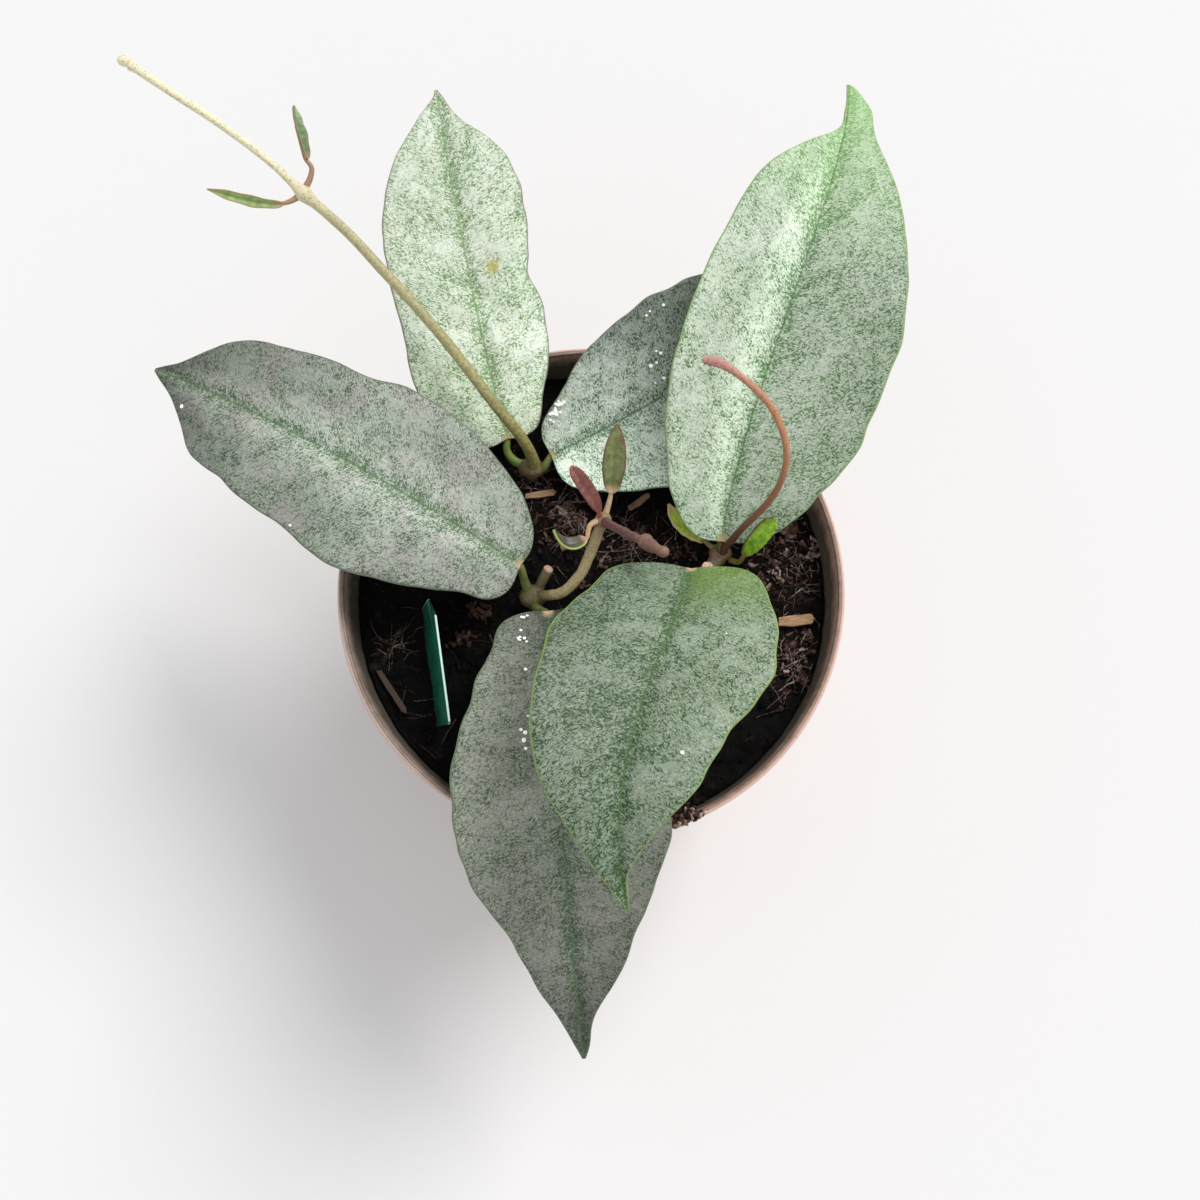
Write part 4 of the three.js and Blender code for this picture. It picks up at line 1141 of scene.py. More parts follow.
def build_pot(settings):
    wall = settings.wall / MM
    collar_foot = POT_HEIGHT - COLLAR_HEIGHT

    def outer(z):
        return inner_radius(z) + wall

    foot_inside = outer(0) - FOOT_WIDTH
    step = 0.5  # ledge of the collar
    rise = [
        (outer(0) - 0.6, 0), (outer(0.6), 0.6), (outer(3), 3), (outer(30), 30), (outer(60), 60),
        (outer(collar_foot - 6), collar_foot - 6), (outer(collar_foot), collar_foot),
        (outer(collar_foot) + step, collar_foot + 0.15), (RIM_RADIUS - 0.65, collar_foot + 0.5),
        (RIM_RADIUS - 0.35, collar_foot + 1), (RIM_RADIUS - 0.3, POT_HEIGHT - 3.2),
    ]
    # The rim is a rolled bead with a shallow groove along its top.
    bead = [
        (RIM_RADIUS - 0.1, POT_HEIGHT - 2.4), (RIM_RADIUS, POT_HEIGHT - 1.4), (RIM_RADIUS, POT_HEIGHT - 0.8),
        (RIM_RADIUS - 0.12, POT_HEIGHT - 0.3), (RIM_RADIUS - 0.4, POT_HEIGHT - 0.05),
        (RIM_RADIUS - 0.7, POT_HEIGHT - 0.05), (RIM_RADIUS - 0.85, POT_HEIGHT - 0.22),
        (RIM_RADIUS - 1.0, POT_HEIGHT - 0.22), (RIM_RADIUS - 1.15, POT_HEIGHT - 0.04),
        (RIM_RADIUS - 1.4, POT_HEIGHT - 0.1), (RIM_RADIUS - LIP, POT_HEIGHT - 0.5),
    ]
    fall_heights = (97, 94, 91, 85, 60, 30, ARCH + FLOOR_THICKNESS + 2)
    floor_top = ARCH + FLOOR_THICKNESS
    fall = [(inner_radius(z), z) for z in fall_heights] + [
        (inner_radius(floor_top) - 0.5, floor_top + 0.5), (inner_radius(floor_top) - 2, floor_top),
        (PAD_RADIUS + ARCH - FLOOR_THICKNESS, floor_top), (PAD_RADIUS - FLOOR_THICKNESS, FLOOR_THICKNESS),
        (0, FLOOR_THICKNESS),
    ]
    base = [(0, 0), (PAD_RADIUS, 0), (PAD_RADIUS + ARCH, ARCH), (foot_inside - ARCH, ARCH), (foot_inside, 0)]
    bm = drilled(spun(base + rise + bead + fall, settings.sides))
    inside, height, outward = layer(bm, "inside"), layer(bm, "height"), layer(bm, "outward")
    for vert in bm.verts:
        vert[outward] = 1 - (RIM_RADIUS - vert.co.xy.length) / LIP
        middle = inner_radius(vert.co.z) + wall / 2
        vert[inside] = 1.0 if vert.co.xy.length < middle and vert.co.z < POT_HEIGHT - 0.3 else 0.0
        vert[height] = vert.co.z
    material = pot_plastic("pot_plastic", tuple(settings.plastic))
    piece("nursery_pot", bm, material, ["pot"], sharp=40)


# ---- peat and what lies on it ----


def peat_top(x, y):
    """Height of the peat's broad lumps, level where it meets the wall."""
    lumps = (
        0.9 * math.sin(0.16 * x + 1) * math.cos(0.13 * y - 0.5)
        + 0.5 * math.sin(0.31 * x - 0.27 * y)
        + 0.3 * math.sin(0.23 * x + 0.42 * y + 2))
    for (mx, my), reach, height in MOUNDS:
        lumps += height * hump(math.hypot(x - mx, y - my), reach)
    edge = min(max((inner_radius(PEAT_LEVEL) - math.hypot(x, y)) / LEVEL_EDGE, 0), 1)
    return PEAT_LEVEL + lumps * edge


def clods(x, y):
    """Relief of the crumbly surface, from about -1 to 1."""
    place = Vector((x, y, 0))
    wide = noise.fractal(place / 5.5, 0.9, 2.2, 4)
    cell = noise.voronoi(place / 2.6 + Vector((0, 0, 0.5)))[0][0]
    small = noise.voronoi(place / 1.15 + Vector((3, 0, 0.5)))[0][0]
    return 0.7 * wide + 0.7 * (0.5 - cell) + 0.35 * (0.5 - small)


def peat_surface(x, y, relief):
    return peat_top(x, y) + relief * clods(x, y)


def build_peat(settings):
    relief = settings.relief / MM
    bottom = FLOOR_THICKNESS + PEAT_CLEARANCE
    shelf = ARCH + FLOOR_THICKNESS + PEAT_CLEARANCE

    def wall_at(z):
        return inner_radius(z) - PEAT_CLEARANCE

    top = [(wall_at(PEAT_LEVEL) * (1 - k / PEAT_RINGS), PEAT_LEVEL) for k in range(PEAT_RINGS + 1)]
    base = [
        (0, bottom), (PAD_RADIUS - FLOOR_THICKNESS - 0.6, bottom),
        (PAD_RADIUS + ARCH - FLOOR_THICKNESS - 0.6, shelf), (wall_at(shelf), shelf)]
    bm = spun(base + top, PEAT_STEPS)
    tint, dry = layer(bm, "tint"), layer(bm, "dry")
    for vert in bm.verts:
        x, y, z = vert.co
        if z > PEAT_LEVEL - 1:
            vert.co.z = peat_surface(x, y, relief)
            vert[dry] = litter(x, y)
            # Painted light: the tint is raised on the tops of the clods, where the key light catches them,
            # and stays low in the hollows as painted shade.
            painted_top_light = 0.3 * noise.noise(Vector((x, y, 7)) / 6) + 0.9 * clods(x, y) - 0.42
            vert[tint] = max(0.0, painted_top_light) * (0.3 + 0.7 * vert[dry])
    material = peat_finish("peat", tuple(settings.dark), tuple(settings.light))
    piece("peat", bm, material, ["soil"])


def scattered(rng, count, reach):
    """Places spread evenly over a disc."""
    for _ in range(count):
        radius, angle = reach * math.sqrt(rng.random()), ROUND * rng.random()
        yield radius * math.cos(angle), radius * math.sin(angle)


def litter(x, y):
    """How thick the dry light litter lies at a place, from 0 to 1."""
    heaps = (thick * hump(math.hypot(x - lx, y - ly), reach) for (lx, ly), reach, thick in LITTER)
    return min(1.0, sum(heaps))


def lump(bm, rng, at, radius, lightness, detail=1):
    """One irregular crumb."""
    tint, dry = layer(bm, "tint"), layer(bm, "dry")
    half = [radius * rng.uniform(0.6, 1.25) for _ in range(3)]
    turn = Matrix.Rotation(ROUND * rng.random(), 4, Vector((rng.random(), rng.random(), 1)))
    place = Matrix.Translation(at) @ turn @ Matrix.Diagonal((*half, 1))
    verts = bmesh.ops.create_icosphere(bm, subdivisions=detail, radius=1, matrix=place)["verts"]
    centre = Vector(at)
    shift = Vector([rng.uniform(0, 50) for _ in range(3)])
    for vert in verts:
        out = vert.co - centre
        vert.co = centre + out * (1 + 0.55 * noise.noise(out / radius + shift))
        vert[tint] = lightness * rng.uniform(0.6, 1.1)
        vert[dry] = litter(centre.x, centre.y)


def sliver(bm, rng, at, length, width, lightness):
    """One angular splinter of bark."""
    tint, dry = layer(bm, "tint"), layer(bm, "dry")
    turn = Matrix.Rotation(ROUND * rng.random(), 4, "Z") @ Matrix.Rotation(rng.uniform(-0.5, 0.5), 4, "Y")
    turn = turn @ Matrix.Rotation(rng.uniform(-0.6, 0.6), 4, "X")
    place = Matrix.Translation(at) @ turn @ Matrix.Diagonal((length, width, 0.45 * width, 1))
    verts = bmesh.ops.create_cube(bm, size=1, matrix=place)["verts"]
    for vert in verts:
        vert.co += Vector([rng.uniform(-0.3, 0.3) * width for _ in range(3)])
        vert[tint] = lightness * rng.uniform(0.7, 1.1)
        vert[dry] = litter(at[0], at[1])


def build_crumbs(settings):
    relief = settings.relief / MM
    rng = random.Random(11)
    bm = bmesh.new()
    layer(bm, "tint")
    reach = inner_radius(PEAT_LEVEL) - 1.6
    for x, y in scattered(rng, settings.crumbs, reach):
        thick = litter(x, y)
        if rng.random() > 0.2 + 1.2 * thick:
            continue
        size = rng.uniform(0.25, 0.55) if rng.random() < 0.9 else rng.uniform(0.6, 1.2)
        lightness = rng.random() ** (4 - 2.4 * thick) * (0.12 + 1.0 * thick)
        height = peat_surface(x, y, relief) + 0.2 * size
        lump(bm, rng, (x, y, height), size, lightness)
    for x, y in scattered(rng, settings.crumbs, reach - 1):
        thick = litter(x, y)
        if rng.random() > 0.15 + 1.2 * thick:
            continue
        length = rng.uniform(0.7, 2.4)
        lightness = rng.random() ** (3 - 1.8 * thick) * (0.1 + 1.0 * thick)
        height = peat_surface(x, y, relief) + 0.2
        sliver(bm, rng, (x, y, height), length, length * rng.uniform(0.15, 0.4), lightness)
    for (x, y), size, lightness in BARK:
        height = peat_surface(x, y, relief) + 0.3 * size
        for _ in range(BARK_BITS):
            shift = [rng.gauss(0, 0.5) * size for _ in range(2)]
            at = (x + shift[0], y + shift[1], height + rng.uniform(-0.3, 0.25) * size)
            if rng.random() < 0.4:
                lump(bm, rng, at, size * rng.uniform(0.2, 0.45), lightness * rng.uniform(0.6, 1))
            else:
                length = size * rng.uniform(0.5, 1.2)
                sliver(bm, rng, at, length, 0.3 * length, lightness * rng.uniform(0.5, 1.1))
    material = peat_finish("peat_crumb", tuple(settings.dark), tuple(settings.light))
    piece("peat_crumbs", bm, material, sharp=25)


def build_spill(settings):
    """A small heap of peat against the wall that reaches over the rim."""
    rng = random.Random(5)
    bm = bmesh.new()
    layer(bm, "tint")
    x0, y0 = SPILL["at"]
    for _ in range(SPILL["crumbs"]):
        x = x0 + rng.gauss(0, 0.42) * SPILL["spread"]
        y = y0 + rng.gauss(0, 0.32) * SPILL["spread"]
        limit = RIM_RADIUS - 0.6
        far = math.hypot(x, y)
        if far > limit:
            x, y = x * limit / far, y * limit / far
        off = math.hypot(x - x0, y - y0) / SPILL["spread"]
        roof = PEAT_LEVEL + (SPILL["top"] - 0.6 - PEAT_LEVEL) * math.exp(-1.4 * off * off)
        if math.hypot(x, y) > RIM_RADIUS - LIP - 0.8:
            height = POT_HEIGHT + rng.uniform(0.0, 0.5)
        else:
            height = rng.uniform(PEAT_LEVEL, roof)
        lump(bm, rng, (x, y, height), rng.uniform(0.4, 1.0), rng.random() ** 2)
    material = peat_finish("peat_spill", tuple(settings.dark), tuple(settings.light))
    piece("peat_spill", bm, material, sharp=25)


def thread(bm, rng, start, length, radius, lightness, relief, wander):
    """One root thread or straight fibre over the surface, lifted off it here and there."""
    tint = layer(bm, "tint")
    x, y = start
    heading, bend = ROUND * rng.random(), 0.7 * rng.gauss(0, wander)
    steps = 7
    lift = rng.uniform(0.1, 0.9)
    points = []
    reach = inner_radius(PEAT_LEVEL) - 1.2
    for k in range(steps):
        far = math.hypot(x, y)
        if far > reach:
            x, y = x * reach / far, y * reach / far
        arch = lift * math.sin(math.pi * k / (steps - 1))
        points.append(Vector((x, y, peat_surface(x, y, relief) + radius + arch)))
        heading += bend + rng.gauss(0, wander)
        x += length / (steps - 1) * math.cos(heading)
        y += length / (steps - 1) * math.sin(heading)
    verts = rod(bm, points, lambda share: radius * (1 - 0.6 * share), sides=4, round_ends=False)
    for vert in verts:
        vert[tint] = lightness


def build_threads(settings):
    relief = settings.relief / MM
    rng = random.Random(23)
    bm = bmesh.new()
    layer(bm, "tint")
    starts = list(scattered(rng, settings.threads, inner_radius(PEAT_LEVEL) - 2))
    for (x, y), spread in TANGLES:
        reach = spread / 2
        starts += [(x + rng.gauss(0, reach), y + rng.gauss(0, reach)) for _ in range(TANGLE_THREADS)]
    for start in starts:
        coarse = rng.random() < 0.12
        radius = rng.uniform(0.16, 0.26) if coarse else rng.uniform(0.06, 0.13)
        length = rng.uniform(3, 7) if coarse else rng.uniform(3, 9)
        lightness = (0.25 + 0.75 * rng.random()) * (0.25 + 0.75 * litter(*start))
        thread(bm, rng, start, length, radius, lightness, relief, rng.choice((0.03, 0.22)))
    material = peat_finish("root_thread", tuple(settings.dark), THREAD_PALE)
    piece("root_threads", bm, material)


def build_chips():
    ragged = [(-0.5, -0.35), (-0.1, -0.5), (0.42, -0.42), (0.5, 0.1), (0.4, 0.5), (-0.46, 0.4)]
    for index, (name, chip) in enumerate(CHIPS.items()):
        low, high = (in_mm(corner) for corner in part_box(name))
        length, width, thickness = chip["size"]
        bm = plate([(x * length, y * width) for x, y in ragged], 0, thickness)
        bevel(bm, CHIP_BEVEL)
        bmesh.ops.triangulate(bm, faces=[face for face in bm.faces if len(face.verts) > 4])
        bmesh.ops.subdivide_edges(bm, edges=bm.edges[:], cuts=2, use_grid_fill=True)
        bm.normal_update()
        roughen(bm.verts, 0.18, 0.9, seed=index + 1.0)
        grain = bm.loops.layers.uv.new("grain")
        for face in bm.faces:
            for corner in face.loops:
                corner[grain].uv = (corner.vert.co.x * MM, (corner.vert.co.y + corner.vert.co.z) * MM)
        middle = (low + high) / 2
        middle.z = low.z
        turn = Matrix.Rotation(math.radians(chip["turn"]), 3, "Z")
        bmesh.ops.rotate(bm, cent=(0, 0, 0), matrix=turn, verts=bm.verts)
        bmesh.ops.translate(bm, vec=middle, verts=bm.verts)
        material = chip_wood(f"wood_{name}", chip["grey"])
        piece(f"wood_{name}", bm, material, [name])


# ---- label ----


def build_label(settings):
    """A bare plant label: a thin strip with a cut corner and a narrow foot in the peat."""
    thickness = settings.thickness / MM
    half, corner, foot = LABEL["width"] / 2, LABEL["corner"], LABEL["foot"]
    outline = [
        (-half + corner, 0), (-half, -corner), (-half, -LABEL["shoulder"]), (-foot, -LABEL["length"]),
        (foot, -LABEL["length"]), (half - LABEL["slant"], -LABEL["shoulder"]),
        (half - 0.1, -0.6), (half - 0.7, 0)]
    bm = plate(outline, -thickness / 2, thickness)
    bmesh.ops.recalc_face_normals(bm, faces=bm.faces)
    bevel(bm, LABEL_BEVEL)
    place = (
        Matrix.Translation(LABEL["top_centre"])
        @ Matrix.Rotation(math.radians(LABEL["turn"]), 4, "Z")
        @ Matrix.Rotation(math.radians(90 - LABEL["lean"]), 4, "X"))
    down, beside = layer(bm, "down"), layer(bm, "beside")
    for vert in bm.verts:
        vert[down], vert[beside] = -vert.co.y, half - abs(vert.co.x)
    bmesh.ops.transform(bm, matrix=place, verts=bm.verts)
    height = layer(bm, "height")
    for vert in bm.verts:
        vert[height] = vert.co.z
    material = label_plastic("label_plastic", tuple(settings.plastic))
    piece("bare_label", bm, material, ["plant_label"], sharp=40)


# ---- leaves ----


def rib_frame(leaf, t):
    """The midrib's point at t, and the directions along, across and out of the upper side there."""
    a, b, c, d = leaf["rib"]
    r = 1 - t
    point = a * r ** 3 + b * 3 * r * r * t + c * 3 * r * t * t + d * t ** 3
    along = ((b - a) * r * r + (c - b) * 2 * r * t + (d - c) * t * t).normalized()
    looks = leaf["face"][0].lerp(leaf["face"][1], t)
    up = (looks - along * looks.dot(along)).normalized()
    return point, along, along.cross(up), up


def half_width(leaf, s, t, side):
    widths = leaf["left"] if side < 0 else leaf["right"]
    width = max(smooth_value(widths, s), widths[-1])
    for dented_side, at, depth, spread in leaf["dents"]:
        if dented_side == side:
            width -= depth * hump(t - at, spread)
    scallop = 1 + 0.07 * math.sin(ROUND * leaf["scallops"] * t) if leaf["scallops"] else 1
    place = Vector((t * (leaf["rib"][0] - leaf["rib"][3]).length, side * 9, leaf["rib"][0].x))
    uneven = noise.noise(place / 5) + 0.5 * noise.noise(place / 1.9)
    return width * scallop * (1 + leaf["uneven"] * uneven * min(1, 8 * t, 8 * (1 - t)))


VEINS = 7.5  # side veins along each half of a leaf
VEIN_SPREAD = 0.010  # their width as a share of its length


def vein_share(t, u, side):
    """How near a point is to one of the side veins, which leave the midrib and lean towards the tip."""
    slant = t - 0.17 * u ** 1.3 - (0.03 if side > 0 else 0)
    off = abs((slant * VEINS) % 1 - 0.5) / VEINS
    return hump(off, VEIN_SPREAD) * (1 - u) ** 0.5 * min(1, 6 * t)


def leaf_point(leaf, s, v, lift, relief):
    """A point of the leaf, as in the source: s runs from base to tip and v from edge to edge.

    lift is its height over the middle of the blade and relief the height of the soft swellings. Gives the
    point with its distances from midrib and edge, the share of the way to the tip and the nearness of a vein.
    """
    t = smooth_value(STATIONS, s)
    point, along, across, up = rib_frame(leaf, t)
    side, u = (1 if v > 0 else -1), abs(v)
    width = half_width(leaf, s, t, side)
    fold = math.tan(math.radians(blend(*leaf["fold"], t)))
    turn = leaf["waves"] * t + leaf["phase"][0 if side < 0 else 1]
    ripple = leaf["wave"] * u * u * math.sin(ROUND * turn) * 4 * t * (1 - t)
    reach = width / max(*leaf["left"], *leaf["right"])
    back = leaf["lobe"] * reach * (1 - t) ** 4 * u * u
    at = point + across * side * width * u - along * back
    vein = vein_share(t, u, side)
    calm = min(1, 5 * t, 5 * (1 - t))
    uneven = noise.noise(at / 6.5) + 0.5 * noise.noise(at / 2.8) - 0.45 * vein
    swell = relief * leaf["swollen"] * calm * uneven
    depth, reach = leaf["gutter"]
    hollow = depth * hump(u * width, reach) * min(1, 6 * t)
    at += up * (width * fold * u + ripple + lift + swell - hollow)
    return at, u * width, (1 - u) * width, t, vein


def rounding(v):
    """The leaf's thickness from edge to edge, as a share of that in its middle."""
    return 1 - THINNED * abs(v) ** 5


def blade(bm, leaf, rows, columns, thickness, relief, groove):
    """Both faces of the blade as grids laid over its shape, joined round the edge."""
    names = ("rib_mm", "edge_mm", "way_mm", "vein", "along", "upper", "side", "stalk")
    rib, edge, way, nerve, along, upper, beside, _ = (layer(bm, name) for name in names)
    length = (leaf["rib"][3] - leaf["rib"][0]).length
    for is_upper in (1, 0):
        grid = bmesh.ops.create_grid(bm, x_segments=columns, y_segments=rows, size=1)["verts"]
        for vert in grid:
            v, s = vert.co.x, (vert.co.y + 1) / 2
            lift = thickness / 2 * rounding(v) * (1 if is_upper else -1)
            at, off_rib, off_edge, t, vein = leaf_point(leaf, s, v, lift, relief)
            _, _, _, up = rib_frame(leaf, t)
            if is_upper:
                at -= up * groove * hump(off_rib, 1.1) * min(1, 12 * t)
            vert.co = at
            vert[rib], vert[edge], vert[nerve] = off_rib, off_edge, vein
            vert[along], vert[upper], vert[beside], vert[way] = t, float(is_upper), v, t * length
    rim = [e for e in bm.edges if e.is_boundary]
    bmesh.ops.bridge_loops(bm, edges=rim)


def leaf_stalk(bm, leaf, radius, top, keel):
    """The leaf stalk, which thins to top, runs on as a keel under the midrib and fades out there."""
    stalk, upper, along = layer(bm, "stalk"), layer(bm, "upper"), layer(bm, "along")
    rib, edge = layer(bm, "rib_mm"), layer(bm, "edge_mm")
    under = []
    for t in (0.0, 0.05, 0.11, 0.19, 0.3, keel):
        point, _, _, up = rib_frame(leaf, t)
        depth = leaf["gutter"][0] * min(1, 6 * t)
        under.append(point - up * (depth + top * (0.75 + 0.45 * min(1, t / 0.06))))
    path = path_through([*leaf["stalk"], *under], 0.8 if radius > 1 else 0.5)
    shares = shares_along(path)
    reached = min(range(len(path)), key=lambda k: (path[k] - under[0]).length)
    base = shares[reached]

    def thickness(share):
        if share < base:
            return blend(radius, top, share / base)
        return top * blend(1, 0.45, (share - base) / (1 - base))

    for vert in rod(bm, path, thickness, STALK_SIDES):
        off = min(range(len(path)), key=lambda k: (path[k] - vert.co).length)
        vert[stalk] = 1.0 if off < reached + 3 else 0.35
        vert[upper] = 0.0
        vert[along], vert[rib], vert[edge] = 0.3, 5.0, 5.0


def prepared(leaf, **extra):
    """The leaf with its points as vectors and with what plain leaves lack."""
    return {
        "scallops": 0, "uneven": 0.03, "gutter": (0.35, 3), "swollen": 1, **leaf, **extra,
        "rib": vectors(leaf["rib"]), "face": vectors(leaf["face"]), "stalk": vectors(leaf["stalk"])}


def build_big_leaves(settings):
    for name, plain in BIG_LEAVES.items():
        leaf = prepared(plain)
        bm = bmesh.new()
        blade(bm, leaf, *BIG_MESH, settings.thickness / MM, settings.relief / MM, groove=0.45)
        leaf_stalk(bm, leaf, BIG_STALK, STALK_TOP, keel=0.5)
        material = silver_leaf(f"silver_{name}", LEAF_LOOKS[name], settings.stroke / MM)
        piece(f"silver_{name}", bm, material, [name], rounding=1)


def build_young_leaves():
    for name, plain in YOUNG_LEAVES.items():
        outline = BLUNT_OUTLINE if plain.get("blunt") else YOUNG_OUTLINE
        widths = [share * plain["half"] for share in outline]
        leaf = prepared(
            plain, left=widths, right=widths, fold=(plain["fold"], plain["fold"]), wave=0, waves=0,
            phase=(0, 0), lobe=0, dents=[], gutter=(0, 1))
        bm = bmesh.new()
        blade(bm, leaf, *YOUNG_MESH, YOUNG_THICKNESS, YOUNG_RELIEF, groove=0.15)
        leaf_stalk(bm, leaf, YOUNG_STALK, 0.5, keel=0.6)
        material = young_leaf(f"fresh_{name}", YOUNG_LOOKS[name])
        piece(f"fresh_{name}", bm, material, [name], rounding=1)


def build_droplets(settings, leaf_settings):
    """Small flat drops that dried on the upper faces."""
    rng = random.Random(17)
    thickness, relief = leaf_settings.thickness / MM, leaf_settings.relief / MM
    bm = bmesh.new()
    for name, groups in DROPLETS.items():
        leaf = prepared(BIG_LEAVES[name])
        for s, v, count, size in groups:
            for _ in range(count):
                spread = 1 if count > 1 else 0
                here = s + rng.gauss(0, 0.016) * spread
                across = max(-0.93, min(0.93, v + rng.gauss(0, 0.06) * spread))
                lift = thickness / 2 * rounding(across) + DROPLET_LIFT
                at, _, _, t, _ = leaf_point(leaf, here, across, lift, relief)
                up = rib_frame(leaf, t)[3]
                radius = 1.15 * size * rng.uniform(0.65, 1.25)
                half = Vector((radius, radius * rng.uniform(0.7, 1), 0.5 * radius))
                place = Matrix.LocRotScale(at, up.to_track_quat("Z", "Y"), half)
                bmesh.ops.create_icosphere(bm, subdivisions=2, radius=1, matrix=place)
    piece("dried_droplets", bm, droplet_white("dried_droplets", tuple(settings.white)))


# ---- stems and shoots ----


def tag_skin(bm, warm_places, cut_places=()):
    """Marks the skin near the nodes as warm and the ends of cut stubs as cut."""
    warm, cut = layer(bm, "warm"), layer(bm, "cut")
    for vert in bm.verts:
        vert[warm] = max((hump((vert.co - Vector(at)).length, reach) for at, reach in warm_places))
        for end, outwards, radius in cut_places:
            off = vert.co - end
            if off.length < 1.25 * radius and off.dot(outwards) > -0.32:
                vert[cut] = 1.0


def build_stems(settings):
    for index, (name, stem) in enumerate(STEMS.items()):
        material = stem_skin(
            f"{name}_skin", tuple(settings.bark), STEM_DEEP, stem["node_tone"], 0.12, STEM_YOUNG)
        bm = bmesh.new()
        x, y = stem["foot"]
        crown = Vector(NODES[stem["nodes"][0]]["at"])
        rod(bm, path_through([(x, y, STEM_DEPTH), (x, y, 85), crown], 1.5), stem["radius"], STEM_SIDES)
        for node in stem["nodes"]:
            ball(bm, NODES[node]["at"], NODES[node]["half"])
        for branch in stem["growing"]:
            rod(bm, path_through(branch["points"], 0.7), branch["radius"], STEM_SIDES)
        cuts = []
        for stub in stem["cut"]:
            path = path_through(stub["points"], 0.6)
            rod(bm, path, stub["radius"], STEM_SIDES, round_ends=False)
            cuts.append((path[-1], (path[-1] - path[-2]).normalized(), stub["radius"]))
        skin = fused(bm, STEM_SKIN)
        roughen(skin.verts, 0.14, 2.0, seed=index + 1.0)
        places = [(NODES[node]["at"], 3.4) for node in stem["nodes"]]
        tag_skin(skin, places, cuts)
        piece(f"skin_{name}", skin, material, [name])


def bumps(share, places, base):
    """A rod's radius, with swellings at some shares of its length: share, extra radius and spread."""
    return base + sum(extra * hump(share - at, spread) for at, extra, spread in places)


def shoot(path, radius, knobs, uneven, warm_places):
    """A rounded rod with knobs on it: uneven gives the height, size and seed of its bumps."""
    bm = bmesh.new()
    rod(bm, path, radius, SHOOT_SIDES)
    for at, half in knobs:
        ball(bm, at, half)
    bm.normal_update()
    roughen(bm.verts, *uneven)
    tag_skin(bm, warm_places)
    return bm


def knob(place, share=1):
    return place["at"], [share * half for half in place["half"]]


def build_long_shoot(settings):
    path = path_through(LONG_SHOOT["points"], 0.9)
    shares = shares_along(path)
    node = Vector(NODES["shoot"]["at"])
    middle = shares[min(range(len(path)), key=lambda k: (path[k] - node).length)]

    def radius(share):
        lower = blend(LONG_SHOOT["foot_radius"], LONG_SHOOT["node_radius"], min(1, share / middle))
        base = LONG_SHOOT["upper_radius"] if share > middle else lower
        return bumps(share, [(0, 0.4, 0.03), (middle, 0.85, 0.016), (1, 0.45, 0.012)], base)

    bud = LONG_SHOOT["bud"]
    bm = shoot(path, radius, [knob(bud)], (0.08, 2.2, 4.0), [(node, 3.2), (bud["at"], 3)])
    pale = layer(bm, "pale")
    for vert in bm.verts:
        leftward = -vert.co.x
        vert[pale] = 0.35 * min(1, max(0, (leftward - 15) / 40)) + 0.65 * min(1, max(0, (leftward - 58) / 14))
    material = stem_skin("long_shoot_skin", tuple(settings.olive), SHOOT_DEEP, SHOOT_NODE, 0.4)
    piece("olive_long_shoot", bm, material, ["long_shoot"], rounding=1)


def build_flower_stalk(settings):
    path = path_through(FLOWER_STALK["points"], 0.8)

    def radius(share):
        rings = [(0, 0.5, 0.035), (0.94, 0.3, 0.01), (0.96, 0.35, 0.008), (0.98, 0.3, 0.008), (1, 0.3, 0.02)]
        return bumps(share, rings, FLOWER_STALK["radius"] + 0.15 * (1 - share) ** 3)

    scars = [knob(scar, 0.85) for scar in FLOWER_STALK["scars"]]
    bm = shoot(path, radius, scars, (0.1, 1.6, 6.0), [(path[-1], 10)])
    material = stem_skin(
        "flower_stalk_skin", FLOWER_FOOT, FLOWER_DEEP, FLOWER_TIP, 0.08, tuple(settings.brown), 0.106, 0.134)
    piece("brown_flower_stalk", bm, material, ["flower_stalk"], rounding=1)


def build_red_shoot(settings):
    path = path_through(RED_SHOOT["points"], 0.8)

    def radius(share):
        return bumps(share, [(0, 0.3, 0.05), (0.87, 0.6, 0.05)], RED_SHOOT["radius"])

    swollen, bud = RED_SHOOT["knob"], RED_SHOOT["bud"]
    warm_places = [(bud["at"], 3.2), (swollen["at"], 2.8)]
    bm = shoot(path, radius, [knob(swollen, 0.95), knob(bud, 0.95)], (0.16, 2.6, 8.0), warm_places)
    material = stem_skin("red_shoot_skin", tuple(settings.red), RED_DEEP, RED_NODE, 0.05)
    piece("red_shoot", bm, material, ["red_shoot_tip"], rounding=1)


# ---- operators, panel and registration ----


class HOYA_OT_stage(bpy.types.Operator):
    """Lay the plain floor and set the lights and the camera"""
    bl_idname = "hoya.stage"
    bl_label = "Stage"

    def execute(self, context):
        build_stage(context.scene.hoya_stage)
        return {"FINISHED"}


class HOYA_OT_pot(bpy.types.Operator):
    """Spin the nursery pot and drill its drainage holes"""
    bl_idname = "hoya.pot"
    bl_label = "Nursery pot"

    def execute(self, context):
        build_pot(context.scene.hoya_pot)
        return {"FINISHED"}


class HOYA_OT_peat(bpy.types.Operator):
    """Fill the pot with peat"""
    bl_idname = "hoya.peat"
    bl_label = "Peat"

    def execute(self, context):
        build_peat(context.scene.hoya_peat)
        return {"FINISHED"}


class HOYA_OT_crumbs(bpy.types.Operator):
    """Scatter crumbs and bark over the peat and spill some over the rim"""
    bl_idname = "hoya.crumbs"
    bl_label = "Crumbs"

    def execute(self, context):
        build_crumbs(context.scene.hoya_peat)
        build_spill(context.scene.hoya_peat)
        return {"FINISHED"}


class HOYA_OT_threads(bpy.types.Operator):
    """Lay root threads and fibres over the peat"""
    bl_idname = "hoya.threads"
    bl_label = "Root threads"

    def execute(self, context):
        build_threads(context.scene.hoya_peat)
        return {"FINISHED"}


class HOYA_OT_chips(bpy.types.Operator):
    """Lay the five wood chips on the peat"""
    bl_idname = "hoya.chips"
    bl_label = "Wood chips"

    def execute(self, context):
        build_chips()
        return {"FINISHED"}


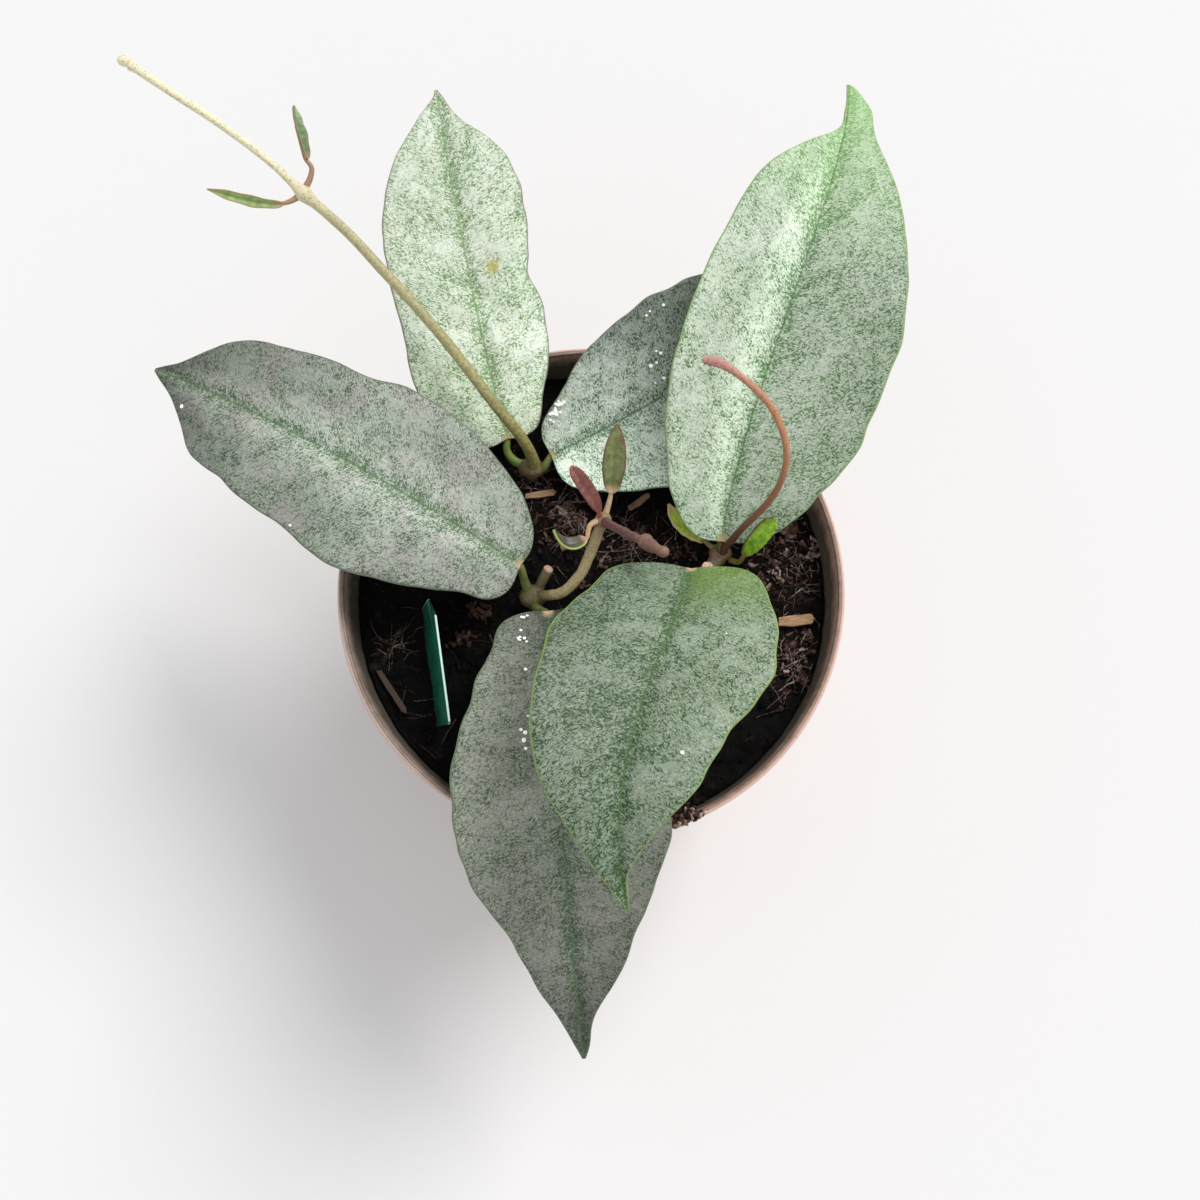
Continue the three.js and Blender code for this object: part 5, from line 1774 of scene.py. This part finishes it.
class HOYA_OT_label(bpy.types.Operator):
    """Stand the bare plant label in the peat"""
    bl_idname = "hoya.label"
    bl_label = "Plant label"

    def execute(self, context):
        build_label(context.scene.hoya_label)
        return {"FINISHED"}


class HOYA_OT_big_leaves(bpy.types.Operator):
    """Grow the six silvery leaves with their stalks"""
    bl_idname = "hoya.big_leaves"
    bl_label = "Silvery leaves"

    def execute(self, context):
        build_big_leaves(context.scene.hoya_leaf)
        return {"FINISHED"}


class HOYA_OT_droplets(bpy.types.Operator):
    """Dry a few white droplets on the leaves"""
    bl_idname = "hoya.droplets"
    bl_label = "Dried droplets"

    def execute(self, context):
        build_droplets(context.scene.hoya_droplets, context.scene.hoya_leaf)
        return {"FINISHED"}


class HOYA_OT_young_leaves(bpy.types.Operator):
    """Grow the seven young leaves"""
    bl_idname = "hoya.young_leaves"
    bl_label = "Young leaves"

    def execute(self, context):
        build_young_leaves()
        return {"FINISHED"}


class HOYA_OT_stems(bpy.types.Operator):
    """Grow the three stems with their nodes and cut stubs"""
    bl_idname = "hoya.stems"
    bl_label = "Stems"

    def execute(self, context):
        build_stems(context.scene.hoya_shoot)
        return {"FINISHED"}


class HOYA_OT_shoots(bpy.types.Operator):
    """Grow the long shoot, the flower stalk and the red shoot"""
    bl_idname = "hoya.shoots"
    bl_label = "Shoots"

    def execute(self, context):
        build_long_shoot(context.scene.hoya_shoot)
        build_flower_stalk(context.scene.hoya_shoot)
        build_red_shoot(context.scene.hoya_shoot)
        return {"FINISHED"}


OPERATORS = [
    HOYA_OT_stage, HOYA_OT_pot, HOYA_OT_peat, HOYA_OT_crumbs, HOYA_OT_threads, HOYA_OT_chips, HOYA_OT_label,
    HOYA_OT_big_leaves, HOYA_OT_droplets, HOYA_OT_young_leaves, HOYA_OT_stems, HOYA_OT_shoots,
]


class HOYA_PT_builder(bpy.types.Panel):
    """Lists the hoya's pieces and their settings"""
    bl_label = "Potted hoya"
    bl_idname = "HOYA_PT_builder"
    bl_space_type = "VIEW_3D"
    bl_region_type = "UI"
    bl_category = "Hoya"

    def draw(self, context):
        for operator in OPERATORS:
            self.layout.operator(operator.bl_idname)
        for attribute, group in SETTINGS.items():
            box = self.layout.box()
            for setting in group.__annotations__:
                box.prop(getattr(context.scene, attribute), setting)


def register():
    for group in SETTINGS.values():
        bpy.utils.register_class(group)
    for attribute, group in SETTINGS.items():
        setattr(bpy.types.Scene, attribute, PointerProperty(type=group))
    for operator in OPERATORS:
        bpy.utils.register_class(operator)
    bpy.utils.register_class(HOYA_PT_builder)


def unregister():
    bpy.utils.unregister_class(HOYA_PT_builder)
    for operator in reversed(OPERATORS):
        bpy.utils.unregister_class(operator)
    for attribute in SETTINGS:
        delattr(bpy.types.Scene, attribute)
    for group in SETTINGS.values():
        bpy.utils.unregister_class(group)


def main():
    register()
    for operator in OPERATORS:
        area, action = operator.bl_idname.split(".")
        getattr(getattr(bpy.ops, area), action)()


if __name__ == "__main__":
    main()
